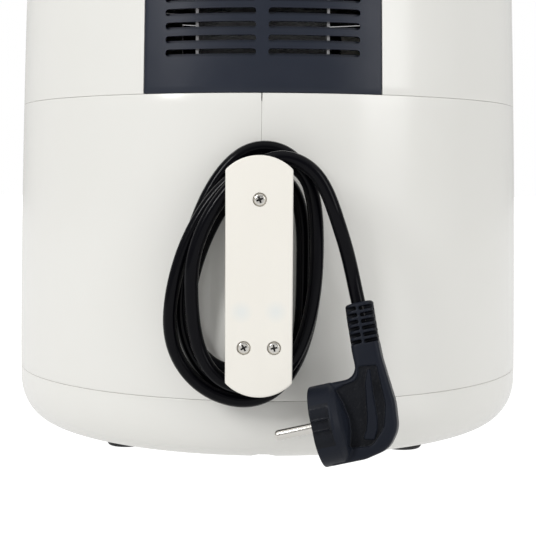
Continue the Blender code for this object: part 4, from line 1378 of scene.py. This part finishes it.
def screw(name, radius, head, stands_for, place, direction, spin, body="body"):
    """A cross-head screw, its cross recess in a dark metal as painted shade. Its place is the middle of
    the underside of its head.
    """
    shape = lathe(fillet([
        (0, -2.0, 0), (radius * 0.5, -2.0, 0), (radius * 0.5, 0, 0), (radius, 0, 0.1),
        (radius, head * 0.55, 0.25), (radius * 0.82, head * 0.86, 0.3), (radius * 0.66, head, 0.15),
        (0, head, 0),
    ], 3), 56)
    arms = []
    wide = radius * 0.115
    reach = radius * 0.56
    for turn in (0, math.pi / 2):
        arm = loft([
            (rounded_box((-reach * 0.55, -wide * 0.8), (reach * 0.55, wide * 0.8), 0.05), head - 1.3),
            (rounded_box((-reach, -wide * 1.25), (reach, wide * 1.25), 0.08), head + 0.1),
        ])
        arms.append(placed(arm, turn=Matrix.Rotation(turn, 3, "Z")))
    arms.append(loft([(circle(radius * 0.14, 12), head - 1.35),
                      (circle(radius * 0.27, 12), head + 0.1)]))
    for tool in arms:
        shape = cut(shape, tool)
    shape = placed(shape, turn=Matrix.Rotation(spin, 3, "Z"))
    # Faces inside the cross recess take the dark metal: painted shade
    for face in shape.faces:
        middle = face.calc_center_median()
        deep = head - 1.36 < middle.z < head - 0.05 and math.hypot(middle.x, middle.y) < reach * 1.02
        face.material_index = 1 if deep else 0
    piece(name, shape, [BRIGHT, RECESS_SHADE], body=body, stands_for=(stands_for,), place=place,
          turn=turn_to(direction), sharp=30)


# The pan's inner radius near its floor and near its rim, and the heights these belong to
PAN_INNER = (97.5, 101.8)
PAN_LEVELS = (44.0, 158.0)
RIVET_PLACES = ((-9.0, 122.0), (-9.0, 146.0), (9.0, 122.0), (9.0, 146.0))


def make_pan():
    """The deep pan with its rolled rim, the rivets that hold the bracket, and the bracket."""
    low, high = node_box("pan")
    centre = (0, CHAMBER_Y, 0)
    rim = high.x
    outline = fillet([
        (0, low.z + 0.6, 0), (60, low.z + 0.6, 0), (62, low.z, 0.6), (99.3, low.z, 9.0),
        (104.0, PAN_LEVELS[1], 2.0),
        (104.6, high.z - 3.2, 0.5), (rim, high.z - 3.2, 1.2), (rim, high.z, 1.4),
        (103.0, high.z, 2.0), (PAN_INNER[1], PAN_LEVELS[1], 2.0), (PAN_INNER[0], low.z + 2, 8.0),
        (64, low.z + 2, 0.6), (62, low.z + 2.6, 0.6), (0, low.z + 2.6, 0),
    ], 5)
    piece("pan_shell", lathe(outline, 160), COATED, body="drawer", stands_for=("pan",), place=centre)
    rivets = []
    dome = [(0, -1.0), (3.2, -1.0), (3.2, 0.1), (2.9, 0.7), (2.2, 1.15), (1.2, 1.4), (0, 1.5)]
    taper, climb = PAN_INNER[1] - PAN_INNER[0], PAN_LEVELS[1] - PAN_LEVELS[0]
    for x, height in RIVET_PLACES:
        radius = PAN_INNER[0] + taper * (height - PAN_LEVELS[0]) / climb
        place = (x, -math.sqrt(radius**2 - x**2), height)
        rivets.append(placed(lathe(dome, 28), place, turn_to((0, 1, 0))))
    piece("pan_rivets", merge(*rivets), BRIGHT, body="drawer", place=centre)
    low, high = node_box("pan_bracket")
    block = box((low.x, low.y - AXIS_Y - 1.5, low.z), (high.x, high.y - AXIS_Y + 3.2, high.z))
    shape = softened(block, 2.0, 4)
    tools = []
    for side in (-1, 1):
        left, right = sorted((side * 6.0, side * 15.0))
        for height in (low.z + 4, low.z + 24):
            outline = rounded_box((left, height), (right, height + 16.0), 1.5)
            tools.append(prism(outline, low.y - AXIS_Y + 3.5, low.y - AXIS_Y + 22.0, "xzy"))
    for height in (low.z + 9, low.z + 21, low.z + 33):
        outline = rounded_box((low.y - AXIS_Y + 4, height), (high.y - AXIS_Y - 4, height + 6.0), 1.5)
        tools.append(prism(outline, 14.5, 30.0, "yzx"))
        tools.append(prism(outline, -30.0, -14.5, "yzx"))
    piece("bracket_block", cut(shape, merge(*tools)), BLACK, body="drawer",
          stands_for=("pan_bracket",))


# Round holes between the slots of the crisper plate, as (radius of the row, holes, hole radius)
HOLE_ROWS = (
    (24.0, 1, 2.0),
    (38.0, 1, 2.2),
    (49.0, 2, 2.2),
    (60.0, 3, 2.2),
    (71.0, 4, 2.2),
)
HOLE_PITCH = 8.4
CRISPER_SLOTS = 8
RIM_HOLES = 44
RIM_HOLE_PLACE = 84.0


def make_crisper():
    """The perforated plate with its upturned rim and four soft bumpers."""
    low, high = node_box("crisper_plate")
    thick = 1.6
    outer = high.x
    holes = [circle(13.0, 48)]
    for index in range(CRISPER_SLOTS):
        turn = Matrix.Rotation(TAU * (index + 0.5) / CRISPER_SLOTS, 2)
        slot_outline = rounded_box((32.0, -3.0), (76.0, 3.0), 2.9, 5)
        holes.append([tuple(turn @ Vector(point)) for point in slot_outline])
        for radius, count, size in HOLE_ROWS:
            for number in range(count):
                spread = (number - (count - 1) / 2) * HOLE_PITCH / radius
                way = TAU * index / CRISPER_SLOTS + spread
                holes.append(circle(size, 14, (radius * math.cos(way), radius * math.sin(way))))
    for index in range(RIM_HOLES):
        way = TAU * index / RIM_HOLES
        centre = (RIM_HOLE_PLACE * math.cos(way), RIM_HOLE_PLACE * math.sin(way))
        holes.append(circle(2.2, 14, centre))
    plate = perforated(circle(outer - 0.6, 144), holes, low.z, low.z + thick)
    rim = lathe(fillet([(outer - 1.6, low.z, 0.4), (outer, low.z, 0.8), (outer, high.z, 0.7),
                        (outer - 1.6, high.z, 0.7)]), 144)
    lip = lathe(fillet([(12.6, low.z, 0.3), (14.2, low.z, 0.3),
                        (14.2, low.z + 3.0, 0.5), (12.6, low.z + 3.0, 0.5)]), 72)
    centre = (0, CHAMBER_Y, 0)
    piece("crisper_grid", merge(plate, rim, lip), COATED, body="crisper",
          stands_for=("crisper_plate",), place=centre)
    for index in range(4):
        outline = fillet([(outer + 0.05, low.z - 2.6, 0.6), (outer + 3.3, low.z - 1, 1.2),
                          (outer + 3.3, high.z - 1.0, 1.2), (outer + 0.05, high.z, 0.6)])
        bumper = lathe(outline, 12, TAU * index / 4 - math.radians(5), math.radians(10))
        piece(f"soft_bumper_{index + 1}", softened(bumper, 0.5, 3, 60), RUBBER, body="crisper",
              stands_for=(f"plate_bumper_{index + 1}",), place=centre)


# ---------------------------------------------------------------- chamber, heater, fan

TUB_RADIUS = 112.0
HEATER_OUTER = 95.0
HEATER_INNER = 78.0
HEATER_START = math.radians(125.0)
HEATER_SWEEP = math.radians(338.0)
HEATER_TUBE = 3.0
GUARD_RINGS = (24.5, 45.0, 65.0, 86.0, 106.0)


def liner_outline(half_width, front):
    """Plan of the chamber: straight sides and a half-round back."""
    steps = 90
    points = [(half_width, front)]
    for step in range(steps + 1):
        angle = math.pi * step / steps
        points.append((half_width * math.cos(angle), CHAMBER_Y + half_width * math.sin(angle)))
    points.append((-half_width, front))
    return points


def make_liner():
    """The bent sheet round the pan, its floor with pressed ribs, and the shelf in front of it."""
    low, high = node_box("chamber_liner")
    front = low.y - AXIS_Y
    wall = 1.2
    outer = liner_outline(high.x, front)
    inner = liner_outline(high.x - wall, front)
    shell = prism(outer + inner[::-1], low.z, high.z)
    floor = prism(liner_outline(high.x - wall / 2, front), low.z, low.z + wall)
    ribs = []
    for x in (-72.0, -36.0, 0.0, 36.0, 72.0):
        reach = math.sqrt(104.0**2 - x**2)
        outline = rounded_box((x - 2.5, front + 8), (x + 2.5, CHAMBER_Y + reach - 6), 2.4)
        ribs.append(softened(prism(outline, low.z + wall - 0.5, low.z + wall + 0.9), 0.6, 2))
    piece("chamber_sheet", merge(shell, floor, *ribs), SHEET, stands_for=("chamber_liner",))
    low, high = node_box("drawer_sill")
    back = high.y - AXIS_Y
    radius = -(low.y - AXIS_Y)
    half = math.acos(-back / radius)
    outline = [(radius * math.cos(FRONT - half + 2 * half * step / 80),
                radius * math.sin(FRONT - half + 2 * half * step / 80)) for step in range(81)]
    shelf = softened(prism(outline, low.z, high.z - 0.6), 0.4, 2)
    rails = [softened(box((x - 3, back - 30, high.z - 1), (x + 3, back - 2, high.z)), 0.4, 2)
             for x in (-60.0, 60.0)]
    piece("sill_shelf", merge(shelf, *rails), GREY, stands_for=("drawer_sill",))


def make_roof():
    """The pressed roof over the chamber, with the air outlet at its back."""
    low, high = node_box("heater_tub")
    outline = fillet([
        (5.0, high.z - 1, 0), (TUB_RADIUS - 1, high.z - 1, 6.0), (TUB_RADIUS - 1, low.z, 0),
        (TUB_RADIUS, low.z, 0), (TUB_RADIUS, high.z, 6.6), (5.0, high.z, 0),
    ], 6)
    shape = lathe(outline, 144)
    shape = cut(shape, box((-30, 90, low.z + 5), (30, 120, high.z - 7)))
    piece("roof_pressing", shape, SHEET, stands_for=("heater_tub",), place=(0, CHAMBER_Y, 0))


def heater_route():
    """Nearly once round, a hairpin, and back round inside itself, both ends up at the start."""
    low, high = node_box("heater_element")
    level = low.z + HEATER_TUBE
    lift = [high.z, level + 9.0]
    middle = (HEATER_OUTER + HEATER_INNER) / 2
    bend = (HEATER_OUTER - HEATER_INNER) / 2
    bow = 6.0
    outer = [(HEATER_OUTER, HEATER_START, height) for height in lift]
    inner = [(HEATER_INNER, HEATER_START, height) for height in lift]
    for step in range(1, 7):
        turned_by = math.pi / 12 * step
        rise = level + bow * (1 - math.sin(turned_by))
        for side, radius in ((outer, HEATER_OUTER), (inner, HEATER_INNER)):
            side.append((radius, HEATER_START + bow * (1 - math.cos(turned_by)) / radius, rise))
    steps = 120
    for step in range(1, steps + 1):
        angle = HEATER_START + math.radians(6) + (HEATER_SWEEP - math.radians(6)) * step / steps
        outer.append((HEATER_OUTER, angle, level))
        inner.append((HEATER_INNER, angle, level))
    turn = []
    for step in range(1, 16):
        turned_by = math.pi * step / 16
        radius = middle + bend * math.cos(turned_by)
        turn.append((radius, HEATER_START + HEATER_SWEEP + bend * math.sin(turned_by) / middle, level))
    return [(radius * math.cos(angle), CHAMBER_Y + radius * math.sin(angle), height)
            for radius, angle, height in outer + turn + inner[::-1]]


def make_heater():
    """The bent heater tube, its ends up through the roof, and the wire guard under it."""
    wire("heater_tube", heater_route(), HEATER_TUBE, HEATER,
         stands_for=("heater_element",), resolution=8)
    low, high = node_box("heater_guard")
    level = (low.z + high.z) / 2
    gauge = (high.z - low.z) / 2
    rings = [lathe(circle(gauge, 10, (radius, level)), 120) for radius in GUARD_RINGS]
    spokes = []
    for index in range(6):
        at = TAU * (index + 0.5) / 6
        rod = lathe([(0, 24.0), (gauge, 24.0), (gauge, 106.5), (0, 106.5)], 10)
        spokes.append(placed(rod, (0, 0, level - 0.7), turn_to((math.cos(at), math.sin(at), 0))))
    piece("guard_wires", merge(*rings, *spokes), BRIGHT, stands_for=("heater_guard",),
          place=(0, CHAMBER_Y, 0))


def blade(inner, outer, low, high, lean):
    """One curved upright fan blade."""
    near = []
    far = []
    steps = 8
    for step in range(steps + 1):
        radius = inner + (outer - inner) * step / steps
        at = lean * (step / steps) ** 1.3
        across, along = math.cos(at), math.sin(at)
        near.append((radius * across + 0.5 * along, radius * along - 0.5 * across))
        far.append((radius * across - 0.5 * along, radius * along + 0.5 * across))
    return prism(near + far[::-1], low, high)


def make_fan(name, node, blades, disc_share):
    """A pressed fan: hub, disc with a rolled edge and curved blades."""
    low, high = node_box(node)
    outer = high.x
    level = low.z + (high.z - low.z) * disc_share
    hub = fillet([(3.4, low.z, 0), (9.0, low.z, 0.6), (9.0, high.z, 0.6), (3.4, high.z, 0)])
    disc = fillet([(8.5, level, 0), (outer, level, 0.5),
                   (outer, level + 1.2, 0.5), (8.5, level + 1.2, 0)])
    shapes = [lathe(hub, 48), lathe(disc, 96)]
    for index in range(blades):
        one = blade(14.0, outer - 1.0, low.z + 0.3, level + 0.4, 0.5)
        shapes.append(placed(one, turn=Matrix.Rotation(TAU * index / blades, 3, "Z")))
    piece(name, merge(*shapes), ALUMINIUM, body="rotor", stands_for=(node,), place=(0, CHAMBER_Y, 0))


def make_rotor():
    """Both fans and the nut that holds them on the shaft."""
    make_fan("hot_air_wheel", "hot_air_fan", 10, 0.82)
    make_fan("cooling_wheel", "cooling_fan", 10, 0.84)
    low, high = node_box("fan_nut")
    corners = circle(6.6, 6)
    nut = loft([(circle(4.6, 6), low.z), (corners, low.z + 1.4), (corners, high.z)])
    piece("cap_nut", softened(nut, 0.3, 2, 20), BRASS, body="rotor", stands_for=("fan_nut",),
          place=(0, CHAMBER_Y, 0))


# ---------------------------------------------------------------- feet and small parts


def make_feet():
    """Round rubber feet with tread rings."""
    outline = fillet([
        (0, 0.9, 0), (2.6, 0.9, 0), (3.0, 0.0, 0.3), (6.2, 0.0, 0.3), (6.6, 0.8, 0.2), (7.6, 0.8, 0.2),
        (8.0, 0.0, 0.3), (10.2, 0.0, 0.5), (11.0, 1.2, 0.5), (11.0, 5.7, 0.3), (0, 5.7, 0),
    ], 3)
    for index, (x, y) in enumerate(corner_places(FOOT_PLACE)):
        piece(f"rubber_foot_{index + 1}", lathe(outline, 56), RUBBER, stands_for=(f"foot_{index + 1}",),
              place=(x, y, 0))


def make_base_screws():
    """Four screws that hold the base from below."""
    for index, (x, y) in enumerate(corner_places(BASE_SCREW_PLACE)):
        screw(f"underside_screw_{index + 1}", 4.0, 1.8, f"base_screw_{index + 1}",
              (x, y, BASE_BOTTOM - 0.2), (0, 0, -1), 0.7 * index)


# ---------------------------------------------------------------- cord bracket

PLATE_SCREWS = ((-0.2, 137.6), (7.0, 68.3), (-7.2, 68.3))
PLATE_ARC = 21.8


def make_bracket():
    """The hub the cord winds on, and the plate that keeps it there, with three screws."""
    low, high = node_box("cord_hub")
    hub = prism(rounded_box((low.x, low.z), (high.x, high.z), 6.0, 8), 145.0, PLATE_BACK + 0.2, "xzy")
    piece("winding_hub", hub, GLOSSY_WHITE, stands_for=("cord_hub",))
    low, high = node_box("cord_plate")
    half = high.x
    reach = math.asin(half / PLATE_ARC)
    steps = 36
    outline = []
    for end, sign in ((high.z, 1), (low.z, -1)):
        for step in range(steps + 1):
            angle = reach * (1 - 2 * step / steps) * sign
            outline.append((PLATE_ARC * math.sin(angle), end + sign * PLATE_ARC * (math.cos(angle) - 1)))
    shape = softened(prism(outline, PLATE_BACK, PLATE_FRONT, "xzy"), 0.8, 4, 40)
    tools = []
    for x, height in PLATE_SCREWS:
        bore = lathe([(0, -2.0), (3.25, -2.0), (3.25, -0.25), (3.6, 0.3), (0, 0.3)], 56)
        tools.append(placed(bore, (x, PLATE_FRONT, height), turn_to((0, 1, 0))))
    piece("bracket_plate", cut(shape, merge(*tools)), WARM_WHITE, stands_for=("cord_plate",))
    for index, ((x, height), spin) in enumerate(zip(PLATE_SCREWS, (0.35, 0.5, 0.2))):
        screw(f"bracket_screw_{index + 1}", 3.0, 1.5, f"plate_screw_{index + 1}",
              (x, PLATE_FRONT - 1.85, height), (0, 1, 0), spin)


# ---------------------------------------------------------------- finishes on kept CAD nodes

KEPT_NODES = (
    ("upper_deck", SHEET),
    ("outlet_duct", SHEET),
    ("motor_body", SHEET),
    ("motor_bracket", SHEET),
    ("motor_shaft", BRIGHT),
    ("timer_unit", SHEET),
    ("thermostat_unit", SHEET),
    ("thermal_fuse", CERAMIC),
    ("terminal_block", CERAMIC),
    ("drawer_switch", GREY),
)


def dress_kept_nodes():
    """Give the plain inner CAD parts the same finishes as the rest."""
    for name, look in KEPT_NODES:
        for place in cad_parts[name].material_slots:
            place.material = look


make_base()
make_housings()
make_upper_housing()
make_cover()
make_vent()
make_panel()
make_knobs()
make_drawer_front()
make_handle()
make_pan()
make_crisper()
make_liner()
make_roof()
make_heater()
make_rotor()
make_feet()
make_base_screws()
make_bracket()
dress_kept_nodes()


# ---------------------------------------------------------------- stage and lights

FLOOR_RADIUS = 9.0
# How much light comes from the background behind the fryer and in front of it
WORLD_LIGHT = 0.3
FRONT_LIGHT = 0.55
OVERHEAD_STRENGTH = 1.25
OVERHEAD_SPREAD = math.radians(100)
LIGHT_AIM = (0, 0, 0.15)
# Soft panels as (name, place, size, power), in metres and watts
PANEL_LIGHTS = (
    ("key", (1.5, 1.7, 1.3), (0.25, 0.9), 25.0),
    ("fill", (-1.8, 1.4, 1.0), (1.0, 1.4), 14.0),
    ("front", (0.3, -2.0, 1.2), (1.4, 1.4), 3.0),
)


def make_stage():
    """A wide pale floor."""
    mesh = bpy.data.meshes.new("floor")
    shape = bmesh.new()
    bmesh.ops.create_circle(shape, cap_ends=True, radius=FLOOR_RADIUS, segments=96)
    shape.to_mesh(mesh)
    shape.free()
    mesh.materials.append(FLOOR)
    floor = bpy.data.objects.new("floor", mesh)
    bpy.context.scene.collection.objects.link(floor)


def make_panel_light(name, place, size, power):
    """A rectangular soft light that points at the body."""
    data = bpy.data.lights.new(name, "AREA")
    data.shape = "RECTANGLE"
    data.size, data.size_y = size
    data.energy = power
    light = bpy.data.objects.new(name, data)
    bpy.context.scene.collection.objects.link(light)
    light.location = place
    light.rotation_euler = (Vector(LIGHT_AIM) - Vector(place)).to_track_quat("-Z", "Y").to_euler()


def make_overhead_light():
    """Soft light from straight above that falls evenly on the whole floor."""
    data = bpy.data.lights.new("overhead", "SUN")
    data.energy = OVERHEAD_STRENGTH
    data.angle = OVERHEAD_SPREAD
    light = bpy.data.objects.new("overhead", data)
    bpy.context.scene.collection.objects.link(light)
    light.location = (0, 0, 2.0)


def make_world():
    """White where the camera looks past the object. As a source of light it is bright in front
    of the appliance and dim behind it, where the lamps are."""
    world = bpy.data.worlds.new("studio")
    bpy.context.scene.world = world
    world.use_nodes = True
    tree = world.node_tree
    background = tree.nodes["Background"]
    background.inputs["Color"].default_value = (1.0, 1.0, 1.0, 1.0)
    strength = seen_or_lit(tree, 1.0, WORLD_LIGHT, background.inputs["Strength"])
    way = tree.nodes.new("ShaderNodeTexCoord")
    parts = tree.nodes.new("ShaderNodeSeparateXYZ")
    tree.links.new(way.outputs["Generated"], parts.inputs["Vector"])
    ahead = tree.nodes.new("ShaderNodeMapRange")
    for name, number in (("From Min", 0.1), ("From Max", -0.6),
                         ("To Min", WORLD_LIGHT), ("To Max", FRONT_LIGHT)):
        ahead.inputs[name].default_value = number
    tree.links.new(parts.outputs["Y"], ahead.inputs["Value"])
    tree.links.new(ahead.outputs["Result"], strength.inputs["To Min"])


make_stage()
make_world()
make_overhead_light()
for panel_light in PANEL_LIGHTS:
    make_panel_light(*panel_light)

bpy.context.scene.view_settings.view_transform = "Standard"
